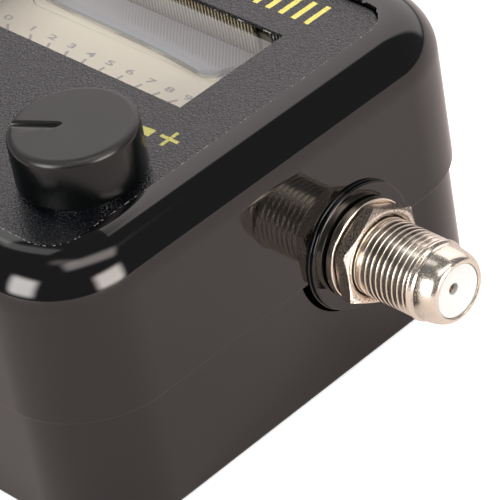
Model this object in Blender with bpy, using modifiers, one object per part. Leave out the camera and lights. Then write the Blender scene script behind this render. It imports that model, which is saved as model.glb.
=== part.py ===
"""Satellite signal meter: a small box with a needle meter, a gain knob and a coaxial socket on each side.

The box lies on its back. +Z points out of its face, +X to its right side and +Y to its top end. The origin is
on the surface that the box lies on, under its middle. Lengths are in metres.
"""

import math
from typing import NamedTuple

import bmesh
import bpy
from mathutils import Matrix, Vector

MM = 0.001

# Clearances
FIT = 0.3 * MM
SNUG = 0.15 * MM
OVERRUN = 2.0 * MM
MERGE = 0.01 * MM

# Meter movement, whose cup sets the width of the meter's neck
CUP_RADIUS = 8.7 * MM
CUP_HEIGHT = 9.1 * MM
CUP_FLOOR = 1.2 * MM
CUP_WALL = 1.2 * MM
YOKE_THICKNESS = 1.5 * MM
COIL_CLEARANCE = 0.5 * MM
COIL_SIDE = 1.3 * MM
COIL_BAR = 0.8 * MM
COIL_DEPTH = 3.2 * MM
CORE_CLEARANCE = 0.6 * MM
CORE_BORE = 0.9 * MM
CORE_ARM_WIDTH = 2.0 * MM
CORE_ARM_THICKNESS = 1.5 * MM
STAFF_RADIUS = 0.5 * MM
STAFF_FLANGE_WIDTH = 0.4 * MM
STAFF_FLANGE_HEIGHT = 0.5 * MM
BEARING_RADIUS = 1.3 * MM
BEARING_HEIGHT = 0.5 * MM
BRIDGE_SUNK = 0.2 * MM
BRIDGE_THICKNESS = 0.7 * MM
BRIDGE_WIDTH = 3.2 * MM
STUD_RADIUS = 0.4 * MM
SPRING_INNER = 1.3 * MM
SPRING_PITCH = 0.68 * MM
SPRING_TURNS = 2.5
SPRING_WIRE = 0.12 * MM
NEEDLE_THICKNESS = 0.25 * MM
NEEDLE_LENGTH = 17.5 * MM
NEEDLE_TAIL = 4.5 * MM
NEEDLE_WIDTH = 0.9 * MM
NEEDLE_TIP_SHARE = 0.35
NEEDLE_HUB = 1.5 * MM
NEEDLE_REST = math.radians(46)
NEEDLE_ROOM = 1.09 * MM
NEEDLE_SPACE = 1.6 * MM

# Gain control and its knob
SHAFT_RADIUS = 3.0 * MM
BUSH_WALL = 0.35 * MM
POT_PLATE = 1.2 * MM
POT_DEPTH = 6.6 * MM
POT_WALL = 0.8 * MM
POT_FROM_MOVEMENT = 2.64 * MM
WIPER_WIDTH = 1.45 * MM
TRACK_THICKNESS = 0.9 * MM
TRACK_GAP = 0.55 * MM
WIPER_THICKNESS = 0.8 * MM
WIPER_GAP = 0.6 * MM
POT_WASHER_THICKNESS = 0.4 * MM
POT_WASHER_WIDTH = 2.0 * MM
POT_NUT_WALL = 1.5 * MM
POT_NUT_THICKNESS = 2.0 * MM
POT_LEAD_RADIUS = 0.4 * MM
POT_LEAD_PITCH = 3.5 * MM
KNOB_LIFT = 0.6 * MM
KNOB_ROOM = 0.43 * MM
KNOB_WALL = 1.0 * MM
KNOB_ROUND = 0.45 * MM
KNOB_HUB_GAP = 0.8 * MM
KNOB_HUB_DEPTH = 1.4 * MM
KNOB_HUB_WALL = 1.45 * MM
KNOB_TOP_THICKNESS = 1.5 * MM
POINTER_WIDTH = 1.2 * MM
POINTER_DEPTH = 0.6 * MM
POINTER_START = 1.9 * MM
POINTER_ANGLE = math.radians(210.5)

# Window, with the meter under it
WINDOW_WIDTH = 36.9 * MM
WINDOW_LENGTH = 16.1 * MM
WINDOW_FROM_PIVOT = 11.6 * MM
METER_MARGIN = 4.8 * MM
METER_FAR_MARGIN = 1.6 * MM
COVER_WALL = 0.8 * MM
COVER_RIM = 0.6 * MM
COVER_DROP = 0.4 * MM
DIAL_THICKNESS = 0.4 * MM
GUIDE_LENGTH = 5.9 * MM
GUIDE_INSET = 4.55 * MM
GUIDE_PAST_WINDOW = 1.45 * MM
GUIDE_CORNER = 3.0 * MM
GUIDE_RISE = 0.8 * MM
DIAL_SCREW_INSET = 3.6 * MM
DIAL_SCREW_SHANK = 0.6 * MM
DIAL_SCREW_HEAD = 1.2 * MM
DIAL_SCREW_HEAD_HEIGHT = 0.35 * MM
DIAL_SCREW_LENGTH = 1.6 * MM
BASE_GAP = 0.9 * MM
BASE_PLATE = 2.0 * MM

# Housing, measured from the knob, the window and what it holds
KNOB_FROM_RIGHT = 13.46 * MM
KNOB_FROM_FRONT = 17.06 * MM
WINDOW_FROM_KNOB = 14.64 * MM
WINDOW_FROM_FAR = 16.6 * MM
SEAM_HEIGHT = 15.6 * MM
CORNER_RADIUS = 11.2 * MM
EDGE_RADIUS = 6.0 * MM
FOOT_EDGE_RADIUS = 0.6 * MM
WALL = 2.0 * MM
LOWER_STEP = 0.65 * MM
TONGUE_HEIGHT = 1.8 * MM
TONGUE_THICKNESS = 1.1 * MM

# Label panel, sunk in the face
LABEL_MARGIN = 5.5 * MM
LABEL_FAR_MARGIN = 7.4 * MM
LABEL_RADIUS = 4.0 * MM
LABEL_SUNK = 0.5 * MM
LABEL_THICKNESS = 0.5 * MM
LABEL_GLUE = 0.1 * MM

# Screws that hold the housing together
POST_INSET = 7.4 * MM
POST_RADIUS = 3.0 * MM
POST_RISE = 2.1 * MM
SCREW_SEAT = 7.0 * MM
SCREW_HEAD_RADIUS = 2.5 * MM
SCREW_HEAD_HEIGHT = 1.8 * MM
SCREW_SHANK_RADIUS = 1.3 * MM
SCREW_LENGTH = 16.5 * MM

# Coaxial sockets, 3/8-32 thread
SOCKET_FROM_WINDOW = 10.05 * MM
SOCKET_ABOVE_SEAM = 0.6 * MM
BOSS_RADIUS = 8.2 * MM
BOSS_PROUD = 1.3 * MM
THREAD_RADIUS = 4.76 * MM
THREAD_END = 11.7 * MM
NOSE_DROP = 0.41 * MM
NOSE_STEP = 0.5 * MM
NOSE_ROUND = 0.65 * MM
NOSE_LENGTH = 3.45 * MM
BARREL_WALL = 1.15 * MM
FLANGE_WIDTH = 1.54 * MM
FLANGE_THICKNESS = 2.0 * MM
BACK_WALL = 1.5 * MM
INSULATOR_SUNK = 0.4 * MM
CONTACT_HOLE = 0.65 * MM
CONTACT_RADIUS = 0.5 * MM
CONTACT_SUNK = 2.1 * MM
CONTACT_TAIL = 10.5 * MM
WASHER_WIDTH = 1.24 * MM
WASHER_THICKNESS = 0.45 * MM
NUT_WALL = 0.74 * MM
NUT_THICKNESS = 1.9 * MM

# Circuit board and what stands on it
BOARD_THICKNESS = 1.6 * MM
BOARD_MARGIN_X = 7.0 * MM
BOARD_MARGIN_Y = 6.2 * MM
STANDOFF_RADIUS = 2.4 * MM
STANDOFF_SHARES = (0.36, 0.89)
BOARD_SCREW_SHANK = 0.9 * MM
BOARD_SCREW_HEAD = 2.0 * MM
BOARD_SCREW_HEAD_HEIGHT = 1.3 * MM
BOARD_SCREW_LENGTH = 7.0 * MM
BOARD_ROOM = 2.6 * MM
TERMINAL_RADIUS = 0.5 * MM
TERMINAL_X = 5.0 * MM
LED_RADIUS = 1.5 * MM
LED_HEIGHT = 3.4 * MM
LED_INSET = 1.9 * MM
LED_LEAD_PITCH = 1.27 * MM
LED_LEAD_RADIUS = 0.25 * MM
BIG_CAPACITOR_RADIUS = 3.2 * MM
BIG_CAPACITOR_HEIGHT = 8.0 * MM
BIG_CAPACITOR_SHARES = (-0.74, -0.5)
SMALL_CAPACITOR_RADIUS = 2.4 * MM
SMALL_CAPACITOR_HEIGHT = 6.0 * MM
SMALL_CAPACITOR_SHARES = (-0.62, -0.82)
TRANSISTOR_WIDTH = 4.2 * MM
TRANSISTOR_DEPTH = 2.0 * MM
TRANSISTOR_HEIGHT = 4.4 * MM
TRANSISTOR_SHARES = ((0.48, 0.04), (-0.48, 0.12))
CHOKE_RADIUS = 2.1 * MM
CHOKE_LENGTH = 8.0 * MM
CHOKE_SHARES = (0.0, 0.62)
DIODE_RADIUS = 0.9 * MM
DIODE_LENGTH = 4.0 * MM
DIODE_SHARES = (0.08, 0.29)

# Facets round a full turn and along a rounded edge, and how edges are rounded and shaded
FACETS = 28
KNOB_FACETS = 36
SMALL_FACETS = 12
CORNER_STEPS = 6
EDGE_STEPS = 4
ROUND_STEPS = 3
HEX = 6
ROUND_PROFILE = 0.5
SHARP_ANGLE = math.radians(35)

# Heights, from the surface that the box lies on
LOWER_TOP = SEAM_HEIGHT - FIT
TONGUE_TOP = LOWER_TOP + TONGUE_HEIGHT
POST_JOINT = SEAM_HEIGHT + POST_RISE
SOCKET_HEIGHT = SEAM_HEIGHT + SOCKET_ABOVE_SEAM
BOARD_TOP = SOCKET_HEIGHT - CONTACT_RADIUS - SNUG
BOARD_UNDER = BOARD_TOP - BOARD_THICKNESS
PART_FOOT = BOARD_TOP + FIT
BASE_UNDER = BOARD_TOP + SNUG + BOARD_SCREW_HEAD_HEIGHT + BOARD_ROOM
BASE_TOP = BASE_UNDER + CUP_HEIGHT
DIAL_UNDER = BASE_TOP + FIT + BASE_GAP
DIAL_TOP = DIAL_UNDER + DIAL_THICKNESS
GUIDE_TOP = DIAL_TOP + GUIDE_RISE
NEEDLE_UNDER = DIAL_TOP + FIT
SKIRT_TOP = DIAL_TOP + NEEDLE_SPACE + COVER_WALL
CEILING = SKIRT_TOP + FIT
RECESS_FLOOR = CEILING + WALL
LABEL_UNDER = RECESS_FLOOR + LABEL_GLUE
LABEL_TOP = LABEL_UNDER + LABEL_THICKNESS
COVER_TOP = LABEL_UNDER - COVER_DROP
CASE_HEIGHT = LABEL_TOP + LABEL_SUNK
CUP_BOTTOM = BASE_UNDER + CUP_FLOOR
YOKE_UNDER = CUP_BOTTOM + FIT
BRIDGE_TOP = BASE_TOP - BRIDGE_SUNK
BRIDGE_UNDER = BRIDGE_TOP - BRIDGE_THICKNESS
YOKE_TOP = BRIDGE_UNDER - FIT
BEARING_TOP = YOKE_UNDER + BEARING_HEIGHT
SPRING_LEVEL = BRIDGE_TOP + SNUG + STAFF_FLANGE_HEIGHT / 2
POT_TOP = CEILING - FIT
WASHER_UNDER = LABEL_TOP + SNUG
POT_NUT_UNDER = WASHER_UNDER + POT_WASHER_THICKNESS + SNUG
BUSH_TOP = POT_NUT_UNDER + POT_NUT_THICKNESS + FIT
KNOB_FOOT = LABEL_TOP + KNOB_LIFT
KNOB_HUB_UNDER = BUSH_TOP + KNOB_HUB_GAP
KNOB_ROOF = KNOB_HUB_UNDER + KNOB_HUB_DEPTH
KNOB_TOP = KNOB_ROOF + KNOB_TOP_THICKNESS

# Radii that follow from the pieces inside them
YOKE_RADIUS = CUP_RADIUS - FIT
YOKE_BORE = YOKE_RADIUS - YOKE_THICKNESS
COIL_REACH = YOKE_BORE - COIL_CLEARANCE
CORE_RADIUS = COIL_REACH - COIL_SIDE - CORE_CLEARANCE
SPRING_OUTER = SPRING_INNER + SPRING_PITCH * SPRING_TURNS
SHAFT_BORE = SHAFT_RADIUS + SNUG
WIPER_RADIUS = SHAFT_BORE + WIPER_WIDTH
POT_RADIUS = WIPER_RADIUS + WIPER_GAP + POT_WALL
BUSH_RADIUS = SHAFT_BORE + BUSH_WALL
BUSH_HOLE = BUSH_RADIUS + SNUG
POT_NUT_CORNER = (BUSH_RADIUS + POT_NUT_WALL) / math.cos(math.pi / HEX)
KNOB_HOLLOW = POT_NUT_CORNER + KNOB_ROOM
KNOB_RADIUS = KNOB_HOLLOW + KNOB_WALL
NOSE_RADIUS = THREAD_RADIUS - NOSE_DROP
SOCKET_BORE = NOSE_RADIUS - BARREL_WALL
NUT_CORNER = (THREAD_RADIUS + NUT_WALL) / math.cos(math.pi / HEX)

# Places, seen from above
MOVEMENT_HALF_WIDTH = CUP_RADIUS + CUP_WALL
KNOB_X = MOVEMENT_HALF_WIDTH + POT_FROM_MOVEMENT + POT_RADIUS
HALF_WIDTH = KNOB_X + KNOB_FROM_RIGHT
HALF_LENGTH = (KNOB_FROM_FRONT + WINDOW_FROM_KNOB + WINDOW_LENGTH + WINDOW_FROM_FAR) / 2
KNOB_Y = KNOB_FROM_FRONT - HALF_LENGTH
WINDOW_LOW = KNOB_Y + WINDOW_FROM_KNOB
WINDOW_HIGH = WINDOW_LOW + WINDOW_LENGTH
WINDOW_HALF_WIDTH = WINDOW_WIDTH / 2
PIVOT_Y = WINDOW_LOW - WINDOW_FROM_PIVOT
SOCKET_Y = WINDOW_LOW + SOCKET_FROM_WINDOW
METER_HALF_WIDTH = WINDOW_HALF_WIDTH + METER_MARGIN
METER_HIGH = WINDOW_HIGH + METER_FAR_MARGIN
NECK_INSIDE = MOVEMENT_HALF_WIDTH - COVER_WALL
METER_LOW = PIVOT_Y + NECK_INSIDE / math.tan(NEEDLE_REST) - NEEDLE_ROOM - COVER_WALL
MOVEMENT_LOW = PIVOT_Y - MOVEMENT_HALF_WIDTH
DIAL_FAR = WINDOW_HIGH - GUIDE_LENGTH
DIAL_HALF_WIDTH = METER_HALF_WIDTH - COVER_WALL - FIT
GUIDE_RIGHT = WINDOW_HALF_WIDTH - GUIDE_INSET
GUIDE_LEFT = -WINDOW_HALF_WIDTH - GUIDE_PAST_WINDOW
LED_X = GUIDE_LEFT + LED_INSET
LED_Y = (DIAL_FAR + WINDOW_HIGH) / 2
LABEL_HALF_WIDTH = HALF_WIDTH - LABEL_MARGIN
LABEL_LOW = LABEL_MARGIN - HALF_LENGTH
LABEL_HIGH = HALF_LENGTH - LABEL_FAR_MARGIN
POST_X = HALF_WIDTH - POST_INSET
POST_Y = HALF_LENGTH - POST_INSET
BOARD_X = HALF_WIDTH - BOARD_MARGIN_X
BOARD_Y = HALF_LENGTH - BOARD_MARGIN_Y

POSTS = [(x, y) for x in (-POST_X, POST_X) for y in (-POST_Y, POST_Y)]
STANDOFFS = [(side * STANDOFF_SHARES[0] * BOARD_X, side * STANDOFF_SHARES[1] * BOARD_Y) for side in (-1, 1)]
DIAL_SCREW_X = METER_HALF_WIDTH - DIAL_SCREW_INSET
DIAL_SCREWS = [(side * DIAL_SCREW_X, METER_LOW + DIAL_SCREW_INSET) for side in (-1, 1)]
SIDES = {"right": 1, "left": -1}


class Finish(NamedTuple):
    """The colour, roughness and metallic value of a piece."""

    colour: tuple
    roughness: float
    metallic: float = 0.0


GLOSS_BLACK = Finish((0.012, 0.012, 0.013), 0.12)
LABEL_BLACK = Finish((0.045, 0.045, 0.05), 0.55)
KNOB_BLACK = Finish((0.03, 0.03, 0.032), 0.45)
DARK_PLASTIC = Finish((0.03, 0.03, 0.03), 0.5)
WHITE_PLASTIC = Finish((0.9, 0.9, 0.88), 0.4)
CLEAR_PLASTIC = Finish((0.9, 0.92, 0.9), 0.05)
CREAM = Finish((0.72, 0.68, 0.52), 0.6)
BOARD_GREEN = Finish((0.05, 0.2, 0.08), 0.4)
NICKEL = Finish((0.78, 0.72, 0.64), 0.2, 1.0)
STEEL = Finish((0.6, 0.6, 0.6), 0.3, 1.0)
BRASS = Finish((0.72, 0.52, 0.24), 0.3, 1.0)
COPPER = Finish((0.7, 0.33, 0.18), 0.35, 1.0)


def start():
    """Removes the scene's objects and makes the collections of the parts and of the cutters."""
    for old in list(bpy.data.objects):
        bpy.data.objects.remove(old)
    for name in ("satellite_signal_meter", "cutters"):
        bpy.context.scene.collection.children.link(bpy.data.collections.new(name))


def place(name, data, finish, at):
    """Makes an object of a mesh or curve. With no finish it is a cutter, or a shape to be joined."""
    made = bpy.data.objects.new(name, data)
    made.location = at
    if finish is None:
        bpy.data.collections["cutters"].objects.link(made)
        made.hide_render = True
        made.display_type = "WIRE"
        return made
    bpy.data.collections["satellite_signal_meter"].objects.link(made)
    material = bpy.data.materials.new(name)
    material.use_nodes = True
    shader = material.node_tree.nodes["Principled BSDF"]
    shader.inputs["Base Color"].default_value = (*finish.colour, 1)
    shader.inputs["Roughness"].default_value = finish.roughness
    shader.inputs["Metallic"].default_value = finish.metallic
    data.materials.append(material)
    return made


def finish_mesh(name, work):
    """Turns a bmesh into a mesh that is smooth but for its sharp edges."""
    bmesh.ops.recalc_face_normals(work, faces=work.faces)
    mesh = bpy.data.meshes.new(name)
    work.to_mesh(mesh)
    work.free()
    mesh.shade_smooth()
    mesh.set_sharp_from_angle(angle=SHARP_ANGLE)
    return mesh


def box_mesh(low, high):
    """A bmesh of a box between two corners."""
    low, high = Vector(low), Vector(high)
    work = bmesh.new()
    bmesh.ops.create_cube(work, size=1)
    bmesh.ops.transform(work, verts=work.verts, matrix=Matrix.Diagonal((high - low).to_4d()))
    bmesh.ops.translate(work, verts=work.verts, vec=(low + high) / 2)
    return work


def block(name, low, high, finish=None, at=(0, 0, 0)):
    """A box between two corners, measured from its origin."""
    return place(name, finish_mesh(name, box_mesh(low, high)), finish, at)


def rounded_block(name, low, high, corner, finish=None, top_edge=0, bottom_edge=0):
    """A box with round upright corners and, where a radius is given, a round top or bottom edge."""
    work = box_mesh(low, high)
    upright = [edge for edge in work.edges if edge.verts[0].co.xy == edge.verts[1].co.xy]
    bmesh.ops.bevel(work, geom=upright, offset=corner, segments=CORNER_STEPS, profile=ROUND_PROFILE,
                    affect="EDGES")
    for radius, height in ((top_edge, high[2]), (bottom_edge, low[2])):
        if radius:
            level = [edge for edge in work.edges if all(abs(v.co.z - height) < MERGE for v in edge.verts)]
            bmesh.ops.bevel(work, geom=level, offset=radius, segments=EDGE_STEPS, profile=ROUND_PROFILE,
                            affect="EDGES")
    return place(name, finish_mesh(name, work), finish, (0, 0, 0))


def cylinder(name, radius, low, high, finish=None, at=(0, 0, 0), facets=FACETS, turn=0):
    """An upright cylinder or prism about its origin, between two heights."""
    work = bmesh.new()
    bmesh.ops.create_cone(work, cap_ends=True, segments=facets, radius1=radius, radius2=radius,
                          depth=high - low)
    bmesh.ops.rotate(work, verts=work.verts, matrix=Matrix.Rotation(turn, 3, "Z"))
    bmesh.ops.translate(work, verts=work.verts, vec=(0, 0, (low + high) / 2))
    return place(name, finish_mesh(name, work), finish, at)


def turned(name, profile, finish, at=(0, 0, 0), facets=FACETS, closed=False):
    """A profile of (radius, height) points turned about the Z axis, which runs down its outer side."""
    count = len(profile)
    edges = [(point, point + 1) for point in range(count - 1)]
    if closed:
        edges.append((count - 1, 0))
    mesh = bpy.data.meshes.new(name)
    mesh.from_pydata([(radius, 0, height) for radius, height in profile], edges, [])
    made = place(name, mesh, finish, at)
    screw = made.modifiers.new("turn", "SCREW")
    screw.steps = facets
    screw.render_steps = facets
    screw.use_merge_vertices = True
    screw.merge_threshold = MERGE
    screw.use_smooth_shade = True
    return made


def round_edge(radius, top, rounding):
    """The points of a turned profile's rounded top edge, from its flat top to its outer side."""
    points = []
    for step in range(ROUND_STEPS + 1):
        angle = step / ROUND_STEPS * math.pi / 2
        across = rounding * math.sin(angle)
        up = rounding * math.cos(angle)
        points.append((radius - rounding + across, top - rounding + up))
    return points


def ring(bore, radius, low, high):
    """The closed profile of a plain ring."""
    return [(bore, high), (radius, high), (radius, low), (bore, low)]


def screw_profile(head_radius, head_height, shank_radius, length):
    """The profile of a screw that stands on its head, which lies under height zero."""
    return [(0, length), (shank_radius / 2, length), (shank_radius, length - shank_radius), (shank_radius, 0),
            (head_radius, 0), (head_radius, -head_height), (0, -head_height)]


def wire(name, points, radius, finish, at):
    """A wire along points."""
    curve = bpy.data.curves.new(name, "CURVE")
    curve.dimensions = "3D"
    curve.bevel_depth = radius
    curve.bevel_resolution = 2
    curve.use_fill_caps = True
    spline = curve.splines.new("POLY")
    spline.points.add(len(points) - 1)
    for point, spot in zip(spline.points, points):
        point.co = (*spot, 1)
    return place(name, curve, finish, at)


def boolean(target, operation, shapes):
    """Adds a Boolean modifier to an object for each shape."""
    for shape in shapes:
        step = target.modifiers.new(shape.name, "BOOLEAN")
        step.operation = operation
        step.object = shape


def cut(target, *shapes):
    """Cuts shapes out of an object."""
    boolean(target, "DIFFERENCE", shapes)


def join(target, *shapes):
    """Joins shapes to an object."""
    boolean(target, "UNION", shapes)


def with_shapes(made):
    """An object and the shapes that its Boolean modifiers use."""
    return [made, *[step.object for step in made.modifiers if step.type == "BOOLEAN"]]


def face_outward(made, side):
    """Lays an upright piece over, with its shapes, so that its top faces out of one side of the box."""
    for one in with_shapes(made):
        one.rotation_euler.y = side * math.pi / 2
    return made


def turn_to(made, angle):
    """Turns an upright piece about its own axis, with its shapes."""
    for one in with_shapes(made):
        one.rotation_euler.z = angle


def socket_origin(side):
    """Where a socket's axis meets the outer face of one side."""
    return (side * HALF_WIDTH, SOCKET_Y, SOCKET_HEIGHT)


def side_shape(name, side, radius, inner, outer):
    """A cylinder along a socket's axis, between two distances outward from the side's face."""
    return face_outward(cylinder(f"{name}_{side}", radius, inner, outer, at=socket_origin(side)), side)


def upper_shell():
    """The cover of the housing: face, sides down to the seam, screw posts and socket bosses."""
    shell = rounded_block("upper_shell", (-HALF_WIDTH, -HALF_LENGTH, SEAM_HEIGHT),
                          (HALF_WIDTH, HALF_LENGTH, CASE_HEIGHT), CORNER_RADIUS, GLOSS_BLACK,
                          top_edge=EDGE_RADIUS)
    cut(shell, rounded_block("upper_hollow", (WALL - HALF_WIDTH, WALL - HALF_LENGTH, SEAM_HEIGHT - OVERRUN),
                             (HALF_WIDTH - WALL, HALF_LENGTH - WALL, CEILING), CORNER_RADIUS - WALL,
                             top_edge=EDGE_RADIUS - WALL))
    for side in SIDES.values():
        join(shell, side_shape("boss", side, BOSS_RADIUS, -WALL, BOSS_PROUD))
    for index, (x, y) in enumerate(POSTS):
        join(shell, cylinder(f"upper_post_{index}", POST_RADIUS, POST_JOINT + FIT, CEILING + FIT,
                             at=(x, y, 0), facets=SMALL_FACETS))
        cut(shell, cylinder(f"pilot_{index}", SCREW_SHANK_RADIUS + SNUG, POST_JOINT - OVERRUN,
                            SCREW_SEAT + SCREW_LENGTH + FIT, at=(x, y, 0), facets=SMALL_FACETS))
    cut(shell, rounded_block("label_recess", (-LABEL_HALF_WIDTH - SNUG, LABEL_LOW - SNUG, RECESS_FLOOR),
                             (LABEL_HALF_WIDTH + SNUG, LABEL_HIGH + SNUG, CASE_HEIGHT + OVERRUN),
                             LABEL_RADIUS + SNUG))
    reach = COVER_RIM + FIT
    cut(shell, block("window_opening", (-WINDOW_HALF_WIDTH - reach, WINDOW_LOW - reach, CEILING - OVERRUN),
                     (WINDOW_HALF_WIDTH + reach, WINDOW_HIGH + reach, CASE_HEIGHT + OVERRUN)))
    cut(shell, cylinder("bush_hole", BUSH_HOLE, CEILING - OVERRUN, CASE_HEIGHT, at=(KNOB_X, KNOB_Y, 0)))
    for side in SIDES.values():
        cut(shell, side_shape("socket_hole", side, THREAD_RADIUS + FIT, -WALL - OVERRUN,
                              BOSS_PROUD + OVERRUN))


def lower_shell():
    """The tray of the housing, with a tongue inside the seam, screw wells and standoffs for the board."""
    tongue_x = HALF_WIDTH - WALL - FIT
    tongue_y = HALF_LENGTH - WALL - FIT
    tongue_corner = CORNER_RADIUS - WALL - FIT
    inner_x = tongue_x - TONGUE_THICKNESS
    inner_y = tongue_y - TONGUE_THICKNESS
    shell = rounded_block("lower_shell", (LOWER_STEP - HALF_WIDTH, LOWER_STEP - HALF_LENGTH, 0),
                          (HALF_WIDTH - LOWER_STEP, HALF_LENGTH - LOWER_STEP, LOWER_TOP),
                          CORNER_RADIUS - LOWER_STEP, GLOSS_BLACK, bottom_edge=FOOT_EDGE_RADIUS)
    join(shell, rounded_block("tongue", (-tongue_x, -tongue_y, WALL), (tongue_x, tongue_y, TONGUE_TOP),
                              tongue_corner))
    cut(shell, rounded_block("lower_hollow", (-inner_x, -inner_y, WALL),
                             (inner_x, inner_y, TONGUE_TOP + OVERRUN), tongue_corner - TONGUE_THICKNESS))
    for side in SIDES.values():
        cut(shell, side_shape("boss_notch", side, BOSS_RADIUS + FIT, inner_x - HALF_WIDTH - OVERRUN,
                              BOSS_PROUD + OVERRUN))
    for index, (x, y) in enumerate(POSTS):
        join(shell, cylinder(f"lower_post_{index}", POST_RADIUS + FIT, WALL / 2, POST_JOINT, at=(x, y, 0),
                             facets=SMALL_FACETS))
        cut(shell, cylinder(f"screw_well_{index}", SCREW_HEAD_RADIUS + SNUG, -OVERRUN, SCREW_SEAT,
                            at=(x, y, 0), facets=SMALL_FACETS))
        cut(shell, cylinder(f"shank_hole_{index}", SCREW_SHANK_RADIUS + SNUG, -OVERRUN, POST_JOINT + OVERRUN,
                            at=(x, y, 0), facets=SMALL_FACETS))
    for index, (x, y) in enumerate(STANDOFFS):
        join(shell, cylinder(f"standoff_{index}", STANDOFF_RADIUS, WALL / 2, BOARD_UNDER - FIT,
                             at=(x, y, 0), facets=SMALL_FACETS))
        cut(shell, cylinder(f"standoff_hole_{index}", BOARD_SCREW_SHANK + SNUG,
                            BOARD_TOP - BOARD_SCREW_LENGTH - FIT, BOARD_TOP, at=(x, y, 0),
                            facets=SMALL_FACETS))


def label_panel():
    """The textured panel on the face, with the window and the hole for the knob's bush."""
    panel = rounded_block("label_panel", (-LABEL_HALF_WIDTH, LABEL_LOW, LABEL_UNDER),
                          (LABEL_HALF_WIDTH, LABEL_HIGH, LABEL_TOP), LABEL_RADIUS, LABEL_BLACK)
    cut(panel, block("label_window", (-WINDOW_HALF_WIDTH, WINDOW_LOW, LABEL_UNDER - OVERRUN),
                     (WINDOW_HALF_WIDTH, WINDOW_HIGH, LABEL_TOP + OVERRUN)))
    cut(panel, cylinder("label_hole", BUSH_HOLE, LABEL_UNDER - OVERRUN, LABEL_TOP + OVERRUN,
                        at=(KNOB_X, KNOB_Y, 0)))


def housing_screws():
    """Four screws from the back into the upper shell's posts."""
    profile = screw_profile(SCREW_HEAD_RADIUS, SCREW_HEAD_HEIGHT, SCREW_SHANK_RADIUS, SCREW_LENGTH)
    for index, (x, y) in enumerate(POSTS):
        turned(f"housing_screw_{index + 1}", profile, STEEL, (x, y, SCREW_SEAT - SNUG), SMALL_FACETS)


def circuit_board():
    """The board under the sockets' contacts, notched for the screw posts, and its two screws."""
    board = block("circuit_board", (-BOARD_X, -BOARD_Y, BOARD_UNDER), (BOARD_X, BOARD_Y, BOARD_TOP),
                  BOARD_GREEN)
    for index, (x, y) in enumerate(POSTS):
        cut(board, cylinder(f"board_notch_{index}", POST_RADIUS + FIT + FIT, BOARD_UNDER - OVERRUN,
                            BOARD_TOP + OVERRUN, at=(x, y, 0), facets=SMALL_FACETS))
    profile = screw_profile(BOARD_SCREW_HEAD, BOARD_SCREW_HEAD_HEIGHT, BOARD_SCREW_SHANK,
                            BOARD_SCREW_LENGTH)
    for index, (x, y) in enumerate(STANDOFFS):
        cut(board, cylinder(f"board_hole_{index}", BOARD_SCREW_SHANK + SNUG, BOARD_UNDER - OVERRUN,
                            BOARD_TOP + OVERRUN, at=(x, y, 0), facets=SMALL_FACETS))
        screw = turned(f"board_screw_{index + 1}", profile, STEEL, (x, y, BOARD_TOP + SNUG), SMALL_FACETS)
        screw.rotation_euler.x = math.pi


def socket(name, side):
    """One coaxial socket: threaded body, insulator, contact, washer and nut."""
    origin = socket_origin(side)
    nose = THREAD_END + NOSE_LENGTH
    inner_face = -WALL - FIT
    back = inner_face - FLANGE_THICKNESS
    floor = back + BACK_WALL
    flange = THREAD_RADIUS + FLANGE_WIDTH
    rear_hole = CONTACT_RADIUS + FIT
    profile = [*round_edge(NOSE_RADIUS, nose, NOSE_ROUND), (NOSE_RADIUS, THREAD_END + NOSE_STEP),
               (THREAD_RADIUS, THREAD_END), (THREAD_RADIUS, inner_face), (flange, inner_face), (flange, back),
               (rear_hole, back), (rear_hole, floor), (SOCKET_BORE, floor), (SOCKET_BORE, nose)]
    face_outward(turned(f"connector_body_{name}", profile, NICKEL, origin, closed=True), side)
    insulator = ring(CONTACT_HOLE, SOCKET_BORE - SNUG, floor + SNUG, nose - INSULATOR_SUNK)
    face_outward(turned(f"connector_insulator_{name}", insulator, WHITE_PLASTIC, origin, closed=True), side)
    contact = cylinder(f"connector_contact_{name}", CONTACT_RADIUS, -CONTACT_TAIL, nose - CONTACT_SUNK, BRASS,
                       origin, SMALL_FACETS)
    face_outward(contact, side)
    washer_seat = BOSS_PROUD + SNUG
    washer_face = washer_seat + WASHER_THICKNESS
    washer = ring(THREAD_RADIUS + SNUG, THREAD_RADIUS + WASHER_WIDTH, washer_seat, washer_face)
    face_outward(turned(f"connector_washer_{name}", washer, NICKEL, origin, closed=True), side)
    nut_seat = washer_face + SNUG
    nut_face = nut_seat + NUT_THICKNESS
    nut = cylinder(f"connector_nut_{name}", NUT_CORNER, nut_seat, nut_face, NICKEL, origin, HEX,
                   turn=math.pi / HEX)
    cut(nut, cylinder(f"nut_bore_{name}", THREAD_RADIUS + SNUG, nut_seat - OVERRUN, nut_face + OVERRUN,
                      at=origin))
    face_outward(nut, side)


def knob():
    """The gain knob, hollow over the bush's nut, with a pointer groove in its top."""
    axis = (KNOB_X, KNOB_Y, 0)
    hub = SHAFT_BORE + KNOB_HUB_WALL
    profile = [(0, KNOB_TOP), *round_edge(KNOB_RADIUS, KNOB_TOP, KNOB_ROUND), (KNOB_RADIUS, KNOB_FOOT),
               (KNOB_HOLLOW, KNOB_FOOT), (KNOB_HOLLOW, KNOB_ROOF), (hub, KNOB_ROOF), (hub, KNOB_HUB_UNDER),
               (SHAFT_BORE, KNOB_HUB_UNDER), (SHAFT_BORE, KNOB_ROOF), (0, KNOB_ROOF)]
    made = turned("knob", profile, KNOB_BLACK, axis, KNOB_FACETS)
    groove = block("pointer_groove", (POINTER_START, -POINTER_WIDTH / 2, KNOB_TOP - POINTER_DEPTH),
                   (KNOB_RADIUS + OVERRUN, POINTER_WIDTH / 2, KNOB_TOP + OVERRUN), at=axis)
    groove.rotation_euler.z = POINTER_ANGLE
    cut(made, groove)


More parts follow.
